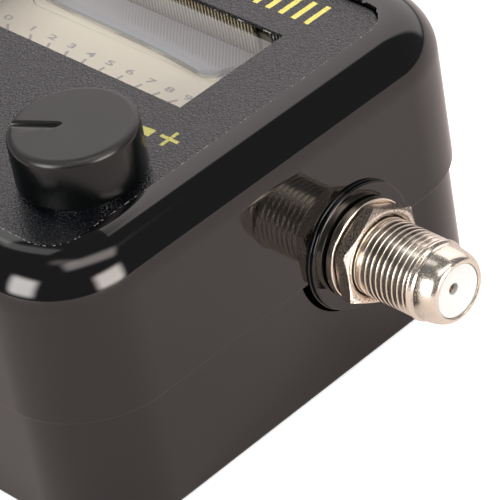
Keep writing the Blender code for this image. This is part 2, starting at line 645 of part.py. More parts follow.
def gain_control():
    """The control under the knob: plate and bush, housing, track, wiper, shaft, washer, nut and leads."""
    axis = (KNOB_X, KNOB_Y, 0)
    plate_under = POT_TOP - POT_PLATE
    turned("pot_bush", [(SHAFT_BORE, BUSH_TOP), (BUSH_RADIUS, BUSH_TOP), (BUSH_RADIUS, POT_TOP),
                        (POT_RADIUS, POT_TOP), (POT_RADIUS, plate_under), (SHAFT_BORE, plate_under)],
           BRASS, axis, closed=True)
    cup_top = plate_under - SNUG
    cup_under = cup_top - POT_DEPTH
    cup_floor = cup_under + POT_WALL
    cup_inside = POT_RADIUS - POT_WALL
    turned("pot_housing", [(0, cup_floor), (cup_inside, cup_floor), (cup_inside, cup_top),
                           (POT_RADIUS, cup_top), (POT_RADIUS, cup_under), (0, cup_under)], STEEL, axis)
    track_top = cup_top - SNUG
    track_under = track_top - TRACK_THICKNESS
    turned("pot_track", ring(SHAFT_BORE + TRACK_GAP, cup_inside - SNUG, track_under, track_top),
           DARK_PLASTIC, axis, closed=True)
    wiper_top = track_under - FIT
    wiper_under = wiper_top - WIPER_THICKNESS
    turned("pot_wiper", ring(SHAFT_BORE, WIPER_RADIUS, wiper_under, wiper_top), COPPER, axis, closed=True)
    cylinder("pot_shaft", SHAFT_RADIUS, wiper_under - FIT, KNOB_ROOF - SNUG, STEEL, axis)
    turned("pot_washer", ring(BUSH_HOLE, BUSH_RADIUS + POT_WASHER_WIDTH, WASHER_UNDER,
                              WASHER_UNDER + POT_WASHER_THICKNESS), STEEL, axis, closed=True)
    nut_top = POT_NUT_UNDER + POT_NUT_THICKNESS
    nut = cylinder("pot_nut", POT_NUT_CORNER, POT_NUT_UNDER, nut_top, STEEL, axis, HEX)
    cut(nut, cylinder("pot_nut_bore", BUSH_HOLE, POT_NUT_UNDER - OVERRUN, nut_top + OVERRUN, at=axis))
    lead_y = KNOB_Y + POT_RADIUS + FIT + POT_LEAD_RADIUS
    for index, side in enumerate((-1, 0, 1)):
        wire(f"pot_lead_{index + 1}", [(0, 0, PART_FOOT), (0, 0, track_under)], POT_LEAD_RADIUS, COPPER,
             (KNOB_X + side * POT_LEAD_PITCH, lead_y, 0))


def meter_shape(name, inset, low, high, finish=None):
    """The meter's outline seen from above: wide under the window, with a neck over the movement."""
    wide = block(name, (inset - METER_HALF_WIDTH, METER_LOW + inset, low),
                 (METER_HALF_WIDTH - inset, METER_HIGH - inset, high), finish)
    join(wide, block(f"{name}_neck", (inset - MOVEMENT_HALF_WIDTH, MOVEMENT_LOW + inset, low),
                     (MOVEMENT_HALF_WIDTH - inset, METER_LOW + inset + OVERRUN, high)))
    return wide


def meter_cover():
    """The clear cover: a skirt under the housing's face and a raised box that fills the window."""
    skirt_low = BASE_TOP + FIT
    cover = meter_shape("meter_cover", 0, skirt_low, SKIRT_TOP, CLEAR_PLASTIC)
    raised_x = WINDOW_HALF_WIDTH + COVER_RIM
    raised_low = WINDOW_LOW - COVER_RIM
    raised_high = WINDOW_HIGH + COVER_RIM
    join(cover, block("cover_raised", (-raised_x, raised_low, skirt_low + OVERRUN),
                      (raised_x, raised_high, COVER_TOP)))
    cut(cover, meter_shape("cover_hollow", COVER_WALL, skirt_low - OVERRUN, SKIRT_TOP - COVER_WALL))
    cut(cover, block("cover_raised_hollow",
                     (COVER_WALL - raised_x, raised_low + COVER_WALL, skirt_low - OVERRUN),
                     (raised_x - COVER_WALL, raised_high - COVER_WALL, COVER_TOP - COVER_WALL)))


def meter_base():
    """The moulding under the dial, with a round cup for the movement and posts for the dial's screws."""
    plate_under = BASE_TOP - BASE_PLATE
    base = block("meter_base", (-METER_HALF_WIDTH, METER_LOW, plate_under),
                 (METER_HALF_WIDTH, METER_HIGH, BASE_TOP), DARK_PLASTIC)
    join(base, block("movement_block", (-MOVEMENT_HALF_WIDTH, MOVEMENT_LOW, BASE_UNDER),
                     (MOVEMENT_HALF_WIDTH, PIVOT_Y + MOVEMENT_HALF_WIDTH, BASE_TOP)))
    post_foot = plate_under + BASE_PLATE / 2
    for index, (x, y) in enumerate(DIAL_SCREWS):
        join(base, cylinder(f"dial_post_{index}", DIAL_SCREW_HEAD, post_foot, DIAL_UNDER - FIT, at=(x, y, 0),
                            facets=SMALL_FACETS))
        cut(base, cylinder(f"dial_pilot_{index}", DIAL_SCREW_SHANK + SNUG, post_foot, DIAL_TOP, at=(x, y, 0),
                           facets=SMALL_FACETS))
    cut(base, cylinder("movement_cup", CUP_RADIUS, CUP_BOTTOM, BASE_TOP + OVERRUN, at=(0, PIVOT_Y, 0)))
    cut(base, cylinder("led_hole", LED_RADIUS + SNUG, plate_under - OVERRUN, BASE_TOP + OVERRUN,
                       at=(LED_X, LED_Y, 0), facets=SMALL_FACETS))


def dial():
    """The printed dial plate with its two screws, and the light guide in the plate's far side."""
    margin = COVER_WALL + FIT
    neck = MOVEMENT_HALF_WIDTH - margin
    plate = block("dial_plate", (-DIAL_HALF_WIDTH, METER_LOW + margin, DIAL_UNDER),
                  (DIAL_HALF_WIDTH, WINDOW_HIGH, DIAL_TOP), CREAM)
    join(plate, block("dial_neck", (-neck, MOVEMENT_LOW + margin, DIAL_UNDER),
                      (neck, METER_LOW + margin + OVERRUN, DIAL_TOP)))
    cut(plate, cylinder("dial_opening", NEEDLE_HUB + FIT, DIAL_UNDER - OVERRUN, DIAL_TOP + OVERRUN,
                        at=(0, PIVOT_Y, 0)))
    profile = screw_profile(DIAL_SCREW_HEAD, DIAL_SCREW_HEAD_HEIGHT, DIAL_SCREW_SHANK, DIAL_SCREW_LENGTH)
    for index, (x, y) in enumerate(DIAL_SCREWS):
        cut(plate, cylinder(f"dial_hole_{index}", DIAL_SCREW_SHANK + SNUG, DIAL_UNDER - OVERRUN,
                            DIAL_TOP + OVERRUN, at=(x, y, 0), facets=SMALL_FACETS))
        screw = turned(f"dial_screw_{index + 1}", profile, STEEL, (x, y, DIAL_TOP + SNUG), SMALL_FACETS)
        screw.rotation_euler.x = math.pi
    left = GUIDE_LEFT - SNUG
    right = GUIDE_RIGHT + SNUG
    past = WINDOW_HIGH + GUIDE_CORNER + OVERRUN
    cut(plate, rounded_block("guide_notch", (left, DIAL_FAR, DIAL_UNDER - OVERRUN),
                             (right, past, DIAL_TOP + OVERRUN), GUIDE_CORNER + SNUG))
    foot = BASE_TOP + FIT
    guide = rounded_block("light_guide", (GUIDE_LEFT, DIAL_FAR + SNUG, foot),
                          (GUIDE_RIGHT, past, GUIDE_TOP), GUIDE_CORNER, WHITE_PLASTIC)
    cut(guide, block("guide_far_side", (left, WINDOW_HIGH, foot - OVERRUN),
                     (right, past + OVERRUN, GUIDE_TOP + OVERRUN)))


def magnet():
    """The yoke in the cup, and the magnet core that its two arms hold inside the coil."""
    axis = (0, PIVOT_Y, 0)
    turned("meter_yoke", ring(YOKE_BORE, YOKE_RADIUS, YOKE_UNDER, YOKE_TOP), STEEL, axis, closed=True)
    middle = (YOKE_UNDER + YOKE_TOP) / 2
    half = YOKE_TOP - middle - BEARING_HEIGHT - FIT - COIL_BAR - FIT
    core = cylinder("magnet_core", CORE_RADIUS, middle - half, middle + half, STEEL, axis)
    join(core, block("core_arms", (-CORE_ARM_WIDTH / 2, FIT - YOKE_BORE, middle - CORE_ARM_THICKNESS / 2),
                     (CORE_ARM_WIDTH / 2, YOKE_BORE - FIT, middle + CORE_ARM_THICKNESS / 2), at=axis))
    cut(core, cylinder("core_bore", CORE_BORE, middle - half - OVERRUN, middle + half + OVERRUN, at=axis,
                       facets=SMALL_FACETS))


def moving_coil():
    """The coil that swings round the magnet core, wound on a frame that is fixed to the staff."""
    axis = (0, PIVOT_Y, 0)
    low = BEARING_TOP + FIT
    high = YOKE_TOP - BEARING_HEIGHT - FIT
    coil = block("moving_coil", (-COIL_REACH, -COIL_DEPTH / 2, low), (COIL_REACH, COIL_DEPTH / 2, high),
                 COPPER, axis)
    cut(coil, block("coil_window", (COIL_SIDE - COIL_REACH, -COIL_DEPTH, low + COIL_BAR),
                    (COIL_REACH - COIL_SIDE, COIL_DEPTH, high - COIL_BAR), at=axis))
    cut(coil, cylinder("coil_bore", STAFF_RADIUS + SNUG, low - OVERRUN, high + OVERRUN, at=axis,
                       facets=SMALL_FACETS))
    turn_to(coil, NEEDLE_REST)


def staff():
    """The upright staff that carries the coil and the needle, and the bearing under it."""
    axis = (0, PIVOT_Y, 0)
    flange = STAFF_RADIUS + STAFF_FLANGE_WIDTH
    flange_under = BRIDGE_TOP + SNUG
    flange_top = flange_under + STAFF_FLANGE_HEIGHT
    top = NEEDLE_UNDER + NEEDLE_THICKNESS + SNUG
    foot = BEARING_TOP + SNUG
    profile = [(0, top), (STAFF_RADIUS, top), (STAFF_RADIUS, flange_top), (flange, flange_top),
               (flange, flange_under), (STAFF_RADIUS, flange_under), (STAFF_RADIUS, foot), (0, foot)]
    turned("meter_staff", profile, STEEL, axis, SMALL_FACETS)
    cylinder("lower_bearing", BEARING_RADIUS, YOKE_UNDER, BEARING_TOP, BRASS, axis, SMALL_FACETS)


def bridge():
    """The bar on the yoke that guides the staff, with a stud for the hairspring, and the spring."""
    axis = (0, PIVOT_Y, 0)
    reach = YOKE_RADIUS - YOKE_THICKNESS / 2
    bar = block("meter_bridge", (-BRIDGE_WIDTH / 2, -reach, BRIDGE_UNDER),
                (BRIDGE_WIDTH / 2, reach, BRIDGE_TOP), BRASS, axis)
    cut(bar, cylinder("bridge_bore", STAFF_RADIUS + SNUG, BRIDGE_UNDER - OVERRUN, BRIDGE_TOP + OVERRUN,
                      at=axis, facets=SMALL_FACETS))
    stud_y = PIVOT_Y + SPRING_OUTER + SPRING_WIRE + SNUG + STUD_RADIUS
    join(bar, cylinder("spring_stud", STUD_RADIUS, BRIDGE_TOP - BRIDGE_THICKNESS / 2,
                       SPRING_LEVEL + SPRING_WIRE, at=(0, stud_y, 0), facets=SMALL_FACETS))
    steps = round(SPRING_TURNS * SMALL_FACETS)
    points = []
    for step in range(steps + 1):
        left = 1 - step / steps
        angle = math.pi / 2 - math.tau * SPRING_TURNS * left
        radius = SPRING_OUTER - SPRING_PITCH * SPRING_TURNS * left
        points.append((radius * math.cos(angle), radius * math.sin(angle), SPRING_LEVEL))
    wire("hairspring", points, SPRING_WIRE, BRASS, axis)


def needle():
    """The pointer, tapered to its tip, with its hub and tail, at rest at the left end of the scale."""
    axis = (0, PIVOT_Y, 0)
    top = NEEDLE_UNDER + NEEDLE_THICKNESS
    hub = cylinder("meter_needle", NEEDLE_HUB, NEEDLE_UNDER, top, DARK_PLASTIC, axis, SMALL_FACETS)
    arm = block("needle_arm", (-NEEDLE_WIDTH / 2, -NEEDLE_TAIL, NEEDLE_UNDER),
                (NEEDLE_WIDTH / 2, NEEDLE_LENGTH, top), at=axis)
    for vertex in arm.data.vertices:
        if vertex.co.y > 0:
            vertex.co.x *= NEEDLE_TIP_SHARE
    join(hub, arm)
    cut(hub, cylinder("needle_bore", STAFF_RADIUS + SNUG, NEEDLE_UNDER - OVERRUN, top + OVERRUN, at=axis,
                      facets=SMALL_FACETS))
    turn_to(hub, NEEDLE_REST)


def on_board(shares):
    """A place on the board's top, as shares of its half width and half length."""
    return (shares[0] * BOARD_X, shares[1] * BOARD_Y, PART_FOOT)


def lying(name, shares, radius, length, finish):
    """A cylinder that lies on the board along X."""
    x, y, foot = on_board(shares)
    made = cylinder(name, radius, -length / 2, length / 2, finish, (x, y, foot + radius), SMALL_FACETS)
    made.rotation_euler.y = math.pi / 2


def board_parts():
    """What stands on the board: capacitors, transistors, choke, diode, lamp and the meter's terminals."""
    cylinder("supply_capacitor_1", BIG_CAPACITOR_RADIUS, 0, BIG_CAPACITOR_HEIGHT, DARK_PLASTIC,
             on_board(BIG_CAPACITOR_SHARES))
    cylinder("supply_capacitor_2", SMALL_CAPACITOR_RADIUS, 0, SMALL_CAPACITOR_HEIGHT, DARK_PLASTIC,
             on_board(SMALL_CAPACITOR_SHARES))
    for index, shares in enumerate(TRANSISTOR_SHARES):
        block(f"amplifier_transistor_{index + 1}", (-TRANSISTOR_WIDTH / 2, -TRANSISTOR_DEPTH / 2, 0),
              (TRANSISTOR_WIDTH / 2, TRANSISTOR_DEPTH / 2, TRANSISTOR_HEIGHT), DARK_PLASTIC, on_board(shares))
    lying("supply_choke", CHOKE_SHARES, CHOKE_RADIUS, CHOKE_LENGTH, COPPER)
    lying("detector_diode", DIODE_SHARES, DIODE_RADIUS, DIODE_LENGTH, DARK_PLASTIC)
    led_top = BASE_TOP - SNUG
    led_under = led_top - LED_HEIGHT
    cylinder("backlight_led", LED_RADIUS, led_under, led_top, WHITE_PLASTIC, (LED_X, LED_Y, 0), SMALL_FACETS)
    for index, side in enumerate((-1, 1)):
        wire(f"led_lead_{index + 1}", [(0, 0, PART_FOOT), (0, 0, led_under - SNUG)], LED_LEAD_RADIUS, STEEL,
             (side * LED_LEAD_PITCH / 2 + LED_X, LED_Y, 0))
        wire(f"meter_terminal_{index + 1}", [(0, 0, PART_FOOT), (0, 0, BASE_UNDER - FIT)], TERMINAL_RADIUS,
             BRASS, (side * TERMINAL_X, PIVOT_Y, 0))


def main():
    """Builds the whole meter."""
    start()
    upper_shell()
    lower_shell()
    label_panel()
    housing_screws()
    circuit_board()
    for name, side in SIDES.items():
        socket(name, side)
    knob()
    gain_control()
    meter_cover()
    meter_base()
    dial()
    magnet()
    moving_coil()
    staff()
    bridge()
    needle()
    board_parts()


main()
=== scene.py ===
"""Looks of the satellite signal meter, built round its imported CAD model.

Pieces are modelled in millimetres, in the CAD model's frame, and scaled to metres when they are published.
"""

from __future__ import annotations

import logging
import math
from dataclasses import dataclass, field
from enum import Enum

import bmesh
import bpy
from mathutils import Matrix, Vector

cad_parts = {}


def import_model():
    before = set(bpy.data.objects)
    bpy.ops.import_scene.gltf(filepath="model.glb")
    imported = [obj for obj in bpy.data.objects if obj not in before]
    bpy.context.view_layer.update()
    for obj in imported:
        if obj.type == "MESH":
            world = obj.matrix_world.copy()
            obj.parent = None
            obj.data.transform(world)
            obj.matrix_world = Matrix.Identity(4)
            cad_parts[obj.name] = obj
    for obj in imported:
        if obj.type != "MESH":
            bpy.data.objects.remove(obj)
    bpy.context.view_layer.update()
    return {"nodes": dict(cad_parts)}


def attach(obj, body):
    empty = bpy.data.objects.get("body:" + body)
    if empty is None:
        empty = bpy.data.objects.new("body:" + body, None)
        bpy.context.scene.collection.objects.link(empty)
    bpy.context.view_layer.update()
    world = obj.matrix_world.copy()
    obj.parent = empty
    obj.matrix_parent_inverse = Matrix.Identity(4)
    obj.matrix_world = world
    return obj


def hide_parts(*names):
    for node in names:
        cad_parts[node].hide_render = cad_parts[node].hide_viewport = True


MM = 0.001
LOG = logging.getLogger("signal_meter")


# Shader expressions

class Reading:
    """A number that a material works out at each point. Python expressions on readings add Math nodes."""

    def __init__(self, tree: bpy.types.NodeTree, socket: bpy.types.NodeSocket) -> None:
        """Wraps one output socket.

        Args:
            tree: The node tree that the socket is in.
            socket: The output socket.
        """
        self.tree = tree
        self.socket = socket

    def math(self, operation: str, *values: Reading | float) -> Reading:
        """Adds one Math node.

        Args:
            operation: The node's operation.
            values: Its inputs, in order.

        Returns:
            The node's result.
        """
        node = self.tree.nodes.new("ShaderNodeMath")
        node.operation = operation
        for slot, value in zip(node.inputs, values):
            feed(self.tree, slot, value)
        return Reading(self.tree, node.outputs[0])

    def __add__(self, other: Reading | float) -> Reading:
        """self + other"""
        return self.math("ADD", self, other)

    def __radd__(self, other: float) -> Reading:
        """other + self"""
        return self.math("ADD", other, self)

    def __sub__(self, other: Reading | float) -> Reading:
        """self - other"""
        return self.math("SUBTRACT", self, other)

    def __rsub__(self, other: float) -> Reading:
        """other - self"""
        return self.math("SUBTRACT", other, self)

    def __mul__(self, other: Reading | float) -> Reading:
        """self * other"""
        return self.math("MULTIPLY", self, other)

    def __rmul__(self, other: float) -> Reading:
        """other * self"""
        return self.math("MULTIPLY", other, self)

    def __truediv__(self, other: Reading | float) -> Reading:
        """self / other"""
        return self.math("DIVIDE", self, other)

    def __pow__(self, other: float) -> Reading:
        """self ** other"""
        return self.math("POWER", self, other)

    def __abs__(self) -> Reading:
        """The size of the number without its sign."""
        return self.math("ABSOLUTE", self)

    def __lt__(self, other: Reading | float) -> Reading:
        """1 where self is under other, and 0 elsewhere."""
        return self.math("LESS_THAN", self, other)

    def __gt__(self, other: Reading | float) -> Reading:
        """1 where self is over other, and 0 elsewhere."""
        return self.math("GREATER_THAN", self, other)

    def __mod__(self, other: float) -> Reading:
        """The remainder, which is never under zero."""
        return self.math("FLOORED_MODULO", self, other)

    def either(self, other: Reading) -> Reading:
        """The larger of the two, which joins two masks."""
        return self.math("MAXIMUM", self, other)

    def floor(self) -> Reading:
        """The whole number under this one."""
        return self.math("FLOOR", self)

    def ramp(self, low: float, high: float) -> Reading:
        """How far the number is on its way from low to high, smoothly, from 0 to 1.

        Args:
            low: The number that gives 0.
            high: The number that gives 1.

        Returns:
            The share.
        """
        node = self.tree.nodes.new("ShaderNodeMapRange")
        node.interpolation_type = "SMOOTHSTEP"
        feed(self.tree, node.inputs["Value"], self)
        node.inputs["From Min"].default_value = low
        node.inputs["From Max"].default_value = high
        return Reading(self.tree, node.outputs[0])


def feed(tree: bpy.types.NodeTree, slot: bpy.types.NodeSocket, value: object) -> None:
    """Links a reading or a socket to an input, or sets the input's own value.

    Args:
        tree: The node tree.
        slot: The input.
        value: A reading, an output socket or a plain value.
    """
    if isinstance(value, Reading):
        tree.links.new(value.socket, slot)
    elif isinstance(value, bpy.types.NodeSocket):
        tree.links.new(value, slot)
    else:
        slot.default_value = value


class Coating:
    """A material under construction: one Principled shader and the nodes that feed it."""

    def __init__(self, name: str) -> None:
        """Starts a material.

        Args:
            name: The material's name.
        """
        self.material = bpy.data.materials.new(name)
        self.material.use_nodes = True
        self.tree = self.material.node_tree
        self.shader = self.tree.nodes["Principled BSDF"]
        self.output = self.tree.nodes["Material Output"]

    def node(self, kind: str, settings: dict | None = None, **inputs: object) -> bpy.types.Node:
        """Adds a node, with its settings first and then its inputs.

        Args:
            kind: The node's type.
            settings: Its settings by name.
            inputs: Its inputs by name, with _ for a space.

        Returns:
            The node.
        """
        made = self.tree.nodes.new(kind)
        for name, value in (settings or {}).items():
            setattr(made, name, value)
        for name, value in inputs.items():
            feed(self.tree, made.inputs[name.replace("_", " ")], value)
        return made

    def read(self, node: bpy.types.Node, output: str | int = 0) -> Reading:
        """One output of a node as a reading."""
        return Reading(self.tree, node.outputs[output])

    def spot(self) -> bpy.types.NodeSocket:
        """The point's place on the object."""
        return self.node("ShaderNodeTexCoord").outputs["Object"]

    def axes(self) -> tuple[Reading, Reading, Reading]:
        """The point's place in millimetres, one reading for each axis."""
        parts = self.node("ShaderNodeSeparateXYZ", Vector=self.spot())
        return tuple(self.read(parts, axis) * (1 / MM) for axis in "XYZ")

    def noise(self, size: float, detail: float = 2.0, vector: object = None, shift: float = 0.0) -> Reading:
        """Cloudy noise from 0 to 1.

        Args:
            size: The size of its spots in millimetres.
            detail: How many finer layers it has.
            vector: The place to read, if not the point's own.
            shift: The fixed seed of this pattern.

        Returns:
            The noise.
        """
        return self.read(self.node("ShaderNodeTexNoise", {"noise_dimensions": "4D"}, Scale=1 / (size * MM), W=shift,
                                   Detail=detail, Vector=vector or self.spot()))

    def cells(self, size: float, feature: str = "F1", vector: object = None) -> bpy.types.Node:
        """A Voronoi pattern with cells of a size in millimetres."""
        return self.node("ShaderNodeTexVoronoi", {"feature": feature}, Scale=1 / (size * MM),
                         Vector=vector or self.spot())

    def specks(self, spacing: float, radius: float, share: float) -> Reading:
        """A mask of sparse dust.

        Args:
            spacing: The distance between the places where a speck may lie, in millimetres.
            radius: A speck's radius in millimetres.
            share: The share of the places that have one.

        Returns:
            1 on a speck and 0 elsewhere.
        """
        node = self.cells(spacing)
        chance = self.read(self.node("ShaderNodeSeparateColor", Color=node.outputs["Color"]), 0)
        ragged = self.noise(radius * 1.2, 1.0) - 0.5
        near = self.read(node, "Distance") + ragged * (radius / spacing) < chance * (radius / spacing) * 1.6
        return near * (chance < share)

    def blend(self, factor: Reading, first: object, second: object) -> bpy.types.NodeSocket:
        """Mixes two colours.

        Args:
            factor: The second one's share.
            first: A colour or a socket.
            second: A colour or a socket.

        Returns:
            The mixed colour.
        """
        node = self.node("ShaderNodeMix", {"data_type": "RGBA"})
        feed(self.tree, node.inputs[0], factor)
        for slot, value in ((6, first), (7, second)):
            feed(self.tree, node.inputs[slot], (*value, 1) if isinstance(value, tuple) else value)
        return node.outputs[2]

    def bump(self, height: Reading, depth: float, strength: float = 1.0) -> bpy.types.NodeSocket:
        """Relief from a height of 0 to 1.

        Args:
            height: The height.
            depth: The real depth in millimetres.
            strength: How much of it shows.

        Returns:
            The bent normal.
        """
        return self.node("ShaderNodeBump", Height=height, Distance=depth * MM, Strength=strength).outputs[0]

    def shade(self, **values: object) -> bpy.types.Material:
        """Feeds the Principled shader by input name, with _ for a space, and returns the material."""
        for name, value in values.items():
            value = (*value, 1) if isinstance(value, tuple) and len(value) == 3 else value
            feed(self.tree, self.shader.inputs[name.replace("_", " ")], value)
        return self.material


# Finishes

@dataclass(frozen=True)
class GlossMould:
    """Polished black plastic, a little uneven, with sparse dust and painted glints along the edge round the recess of
    the face.
    """

    colour: tuple[float, float, float] = (0.0017, 0.0016, 0.0016)
    roughness: float = 0.055
    dust: float = 0.05
    middle: float = -0.95
    reach: tuple[float, float] = (26.65, 25.9)
    corner: float = 4.15
    edge_height: float = 35.85

    def painted_rim_glints(self, coat: Coating) -> Reading:
        """Painted glints along the recess's edge, pale here and there.

        Args:
            coat: The material under construction.

        Returns:
            1 on a painted glint and 0 elsewhere.
        """
        x, y, z = coat.axes()
        across = abs(x) - (self.reach[0] - self.corner)
        along = abs(y - self.middle) - (self.reach[1] - self.corner)
        outside = (across.either(0.0) ** 2 + along.either(0.0) ** 2) ** 0.5
        inside = across.either(along).math("MINIMUM", across.either(along), 0.0)
        off = outside + inside - self.corner
        line = (off > -0.02) * (off < coat.noise(0.9, 2.0, shift=6.0) * 0.16) * (z > self.edge_height)
        return line * (coat.noise(0.35, 4.0, shift=4.0) > 0.55)

    def make(self, name: str) -> bpy.types.Material:
        """Builds the material."""
        coat = Coating(name)
        cloud = coat.noise(9.0, 3.0)
        dust = coat.specks(2.6, 0.085, self.dust)
        wave = coat.bump(coat.noise(14.0, 1.0, shift=3.0), 0.02, 0.25)
        # Painted highlight: a broken pale line of glints along the recess's edge.
        pale = self.painted_rim_glints(coat)
        clean = coat.blend(dust, self.colour, (0.55, 0.53, 0.5))
        return coat.shade(Base_Color=coat.blend(pale, clean, (0.2, 0.195, 0.19)),
                          Roughness=cloud * 0.05 + (self.roughness - 0.025) + dust * 0.5, Normal=wave, IOR=1.5)


@dataclass(frozen=True)
class GrainedLabel:
    """The face's leather-grained plastic, with painted shade in its creases, painted glints on the window's far edge
    and its plain yellow marks printed in.
    """

    colour: tuple[float, float, float] = (0.0022, 0.0032, 0.0054)
    ink: tuple[float, float, float] = (0.56, 0.55, 0.11)
    bright_ink: tuple[float, float, float] = (0.78, 0.7, 0.13)
    far_edge: float = 15.6

    def marks(self, x: Reading, y: Reading) -> Reading:
        """The gain control's ramp, with a minus at its low end and a plus at its high end.

        Args:
            x: The place across, in millimetres.
            y: The place along, in millimetres.

        Returns:
            1 on ink and 0 elsewhere.
        """
        along = (x - 9.2) * (1 / 10.2)
        ramp = (along > 0) * (along < 1) * (y > -6.3) * (y < along * 1.1 - 6.1)
        level = abs(y + 5.35) < 0.24
        plus = level * (abs(x - 21.75) < 1.35)
        upright = (abs(x - 21.75) < 0.24) * (abs(y + 5.35) < 1.35)
        minus = level * (abs(x - 6.9) < 1.1)
        return ramp.either(plus).either(upright).either(minus)

    def bars(self, x: Reading, y: Reading) -> Reading:
        """A plain row of rising bars across the top of the face.

        Args:
            x: The place across, in millimetres.
            y: The place along, in millimetres.

        Returns:
            1 on ink and 0 elsewhere.
        """
        step = (x + 19.4) * (1 / 2.0)
        inside = (step > 0) * (x < 19.3)
        tall = step.floor() * 0.165 + 0.75
        return inside * (step % 1.0 < 0.38) * (y > 18.7) * (y < tall + 18.7)

    def painted_edge_glints(self, coat: Coating, y: Reading, z: Reading) -> Reading:
        """Painted glints on the cut far edge of the window, where it catches the light here and there.

        Args:
            coat: The material under construction.
            y: The place along, in millimetres.
            z: The height, in millimetres.

        Returns:
            1 where the edge shines and 0 elsewhere.
        """
        return (abs(y - self.far_edge) < 0.06) * (z < 35.3) * (coat.noise(0.9, 4.0, shift=8.0) > 0.58)

    def make(self, name: str) -> bpy.types.Material:
        """Builds the material."""
        coat = Coating(name)
        x, y, z = coat.axes()
        warp = coat.node("ShaderNodeTexNoise", Scale=1 / (0.35 * MM), Detail=1.0, Vector=coat.spot())
        offset = coat.node("ShaderNodeVectorMath", {"operation": "SCALE"}, Scale=0.42 * MM)
        feed(coat.tree, offset.inputs[0], warp.outputs["Color"])
        bent = coat.node("ShaderNodeVectorMath", {"operation": "ADD"})
        feed(coat.tree, bent.inputs[0], coat.spot())
        feed(coat.tree, bent.inputs[1], offset.outputs[0])
        creases = coat.read(coat.cells(0.43, "DISTANCE_TO_EDGE", bent.outputs[0])).ramp(0.0, 0.28)
        fine = coat.noise(0.22, 2.0, bent.outputs[0])
        height = creases * 0.5 + fine
        low_ink = self.marks(x, y)
        high_ink = self.bars(x, y)
        dust = coat.specks(2.3, 0.085, 0.07)
        worn = (coat.noise(0.22, 2.0, shift=7.0) > 0.36)
        # Painted shade: the grain's creases are painted darker than the label.
        crease_shaded = coat.blend(creases, tuple(0.72 * part for part in self.colour), self.colour)
        inked = coat.blend(low_ink * worn, crease_shaded, self.ink)
        printed = coat.blend(high_ink * worn, inked, self.bright_ink)
        dusty = coat.blend(dust, printed, (0.6, 0.58, 0.55))
        # Painted highlight: glints along the cut far edge of the window.
        glinted = coat.blend(self.painted_edge_glints(coat, y, z), dusty, (0.5, 0.48, 0.46))
        return coat.shade(Base_Color=glinted, Roughness=0.25 - creases * 0.05 + fine * 0.06,
                          Normal=coat.bump(height, 0.052, 0.9), IOR=1.5)


@dataclass(frozen=True)
class SatinMould:
    """Finely textured black plastic, duller on its flat face, which is also painted lighter for the soft sheen of the
    light on it.
    """

    colour: tuple[float, float, float] = (0.001, 0.0016, 0.0017)
    # The flat face's painted sheen colour.
    lit_face_colour: tuple[float, float, float] = (0.018, 0.0185, 0.0185)
    roughness: float = 0.2
    face_roughness: float = 0.36
    face: float = 42.1
    grain: float = 0.12
    dust: float = 0.0

    def make(self, name: str) -> bpy.types.Material:
        """Builds the material."""
        coat = Coating(name)
        fine = coat.noise(self.grain, 2.0)
        cloud = coat.noise(3.5, 3.0, shift=2.0)
        dust = coat.specks(2.0, 0.07, self.dust) if self.dust else cloud * 0.0
        tint = coat.blend(cloud.ramp(0.35, 0.7), self.colour, tuple(1.25 * part for part in self.colour))
        face = coat.axes()[2].ramp(self.face - 0.5, self.face)
        dull = face * (self.face_roughness - self.roughness)
        # Painted sheen: the flat face is painted lighter than the sides.
        worn = coat.blend(face, tint, self.lit_face_colour)
        return coat.shade(Base_Color=coat.blend(dust, worn, (0.5, 0.5, 0.48)),
                          Roughness=cloud * 0.08 + fine * 0.06 + dull + (self.roughness - 0.07),
                          Normal=coat.bump(fine, 0.008, 0.5), IOR=1.38)


@dataclass(frozen=True)
class Plating:
    """Plated or plain metal with fine pits and uneven shine."""

    colour: tuple[float, float, float] = (0.70, 0.64, 0.55)
    roughness: float = 0.19
    pitting: float = 0.55
    pit_size: float = 0.17
    pit_shade: float = 0.55
    pit_start: float = 0.5

    def make(self, name: str) -> bpy.types.Material:
        """Builds the material."""
        coat = Coating(name)
        pits = coat.noise(self.pit_size, 3.0).ramp(self.pit_start, self.pit_start + 0.22)
        cloud = coat.noise(2.2, 2.0, shift=5.0)
        dull = tuple(part * self.pit_shade for part in self.colour)
        height = (1 - pits) * 0.6 + cloud * 0.4
        return coat.shade(Base_Color=coat.blend(pits * self.pitting, self.colour, dull), Metallic=1.0,
                          Roughness=cloud * 0.1 + pits * (0.5 * self.pitting) + (self.roughness - 0.05),
                          Normal=coat.bump(height, 0.012, 0.6 * self.pitting))


@dataclass(frozen=True)
class PlainPlastic:
    """Plain moulded plastic or enamel with a faint cloudiness."""

    colour: tuple[float, float, float]
    roughness: float = 0.4
    change: float = 0.12

    def make(self, name: str) -> bpy.types.Material:
        """Builds the material."""
        coat = Coating(name)
        cloud = coat.noise(2.6, 3.0)
        lower = tuple(part * (1 - self.change) for part in self.colour)
        return coat.shade(Base_Color=coat.blend(cloud, lower, self.colour),
                          Roughness=cloud * 0.1 + (self.roughness - 0.05), Normal=coat.bump(cloud, 0.02, 0.2), IOR=1.46)


@dataclass(frozen=True)
class ClearPane:
    """Clear plastic that shows what is under it and mirrors the room a little."""

    roughness: float = 0.03

    def make(self, name: str) -> bpy.types.Material:
        """Builds the material."""
        coat = Coating(name)
        gloss = coat.read(coat.node("ShaderNodeFresnel", IOR=1.46))
        front = 1 - coat.read(coat.node("ShaderNodeNewGeometry"), "Backfacing")
        dust = coat.specks(3.1, 0.1, 0.06)
        coat.shade(Base_Color=(1.0, 1.0, 1.0), Metallic=1.0, Roughness=dust * 0.8 + self.roughness)
        mix = coat.node("ShaderNodeMixShader")
        feed(coat.tree, mix.inputs[0], (gloss * front * 1.25).either(dust * 0.7))
        feed(coat.tree, mix.inputs[1], coat.node("ShaderNodeBsdfTransparent").outputs[0])
        feed(coat.tree, mix.inputs[2], coat.shader.outputs[0])
        feed(coat.tree, coat.output.inputs["Surface"], mix.outputs[0])
        return coat.material


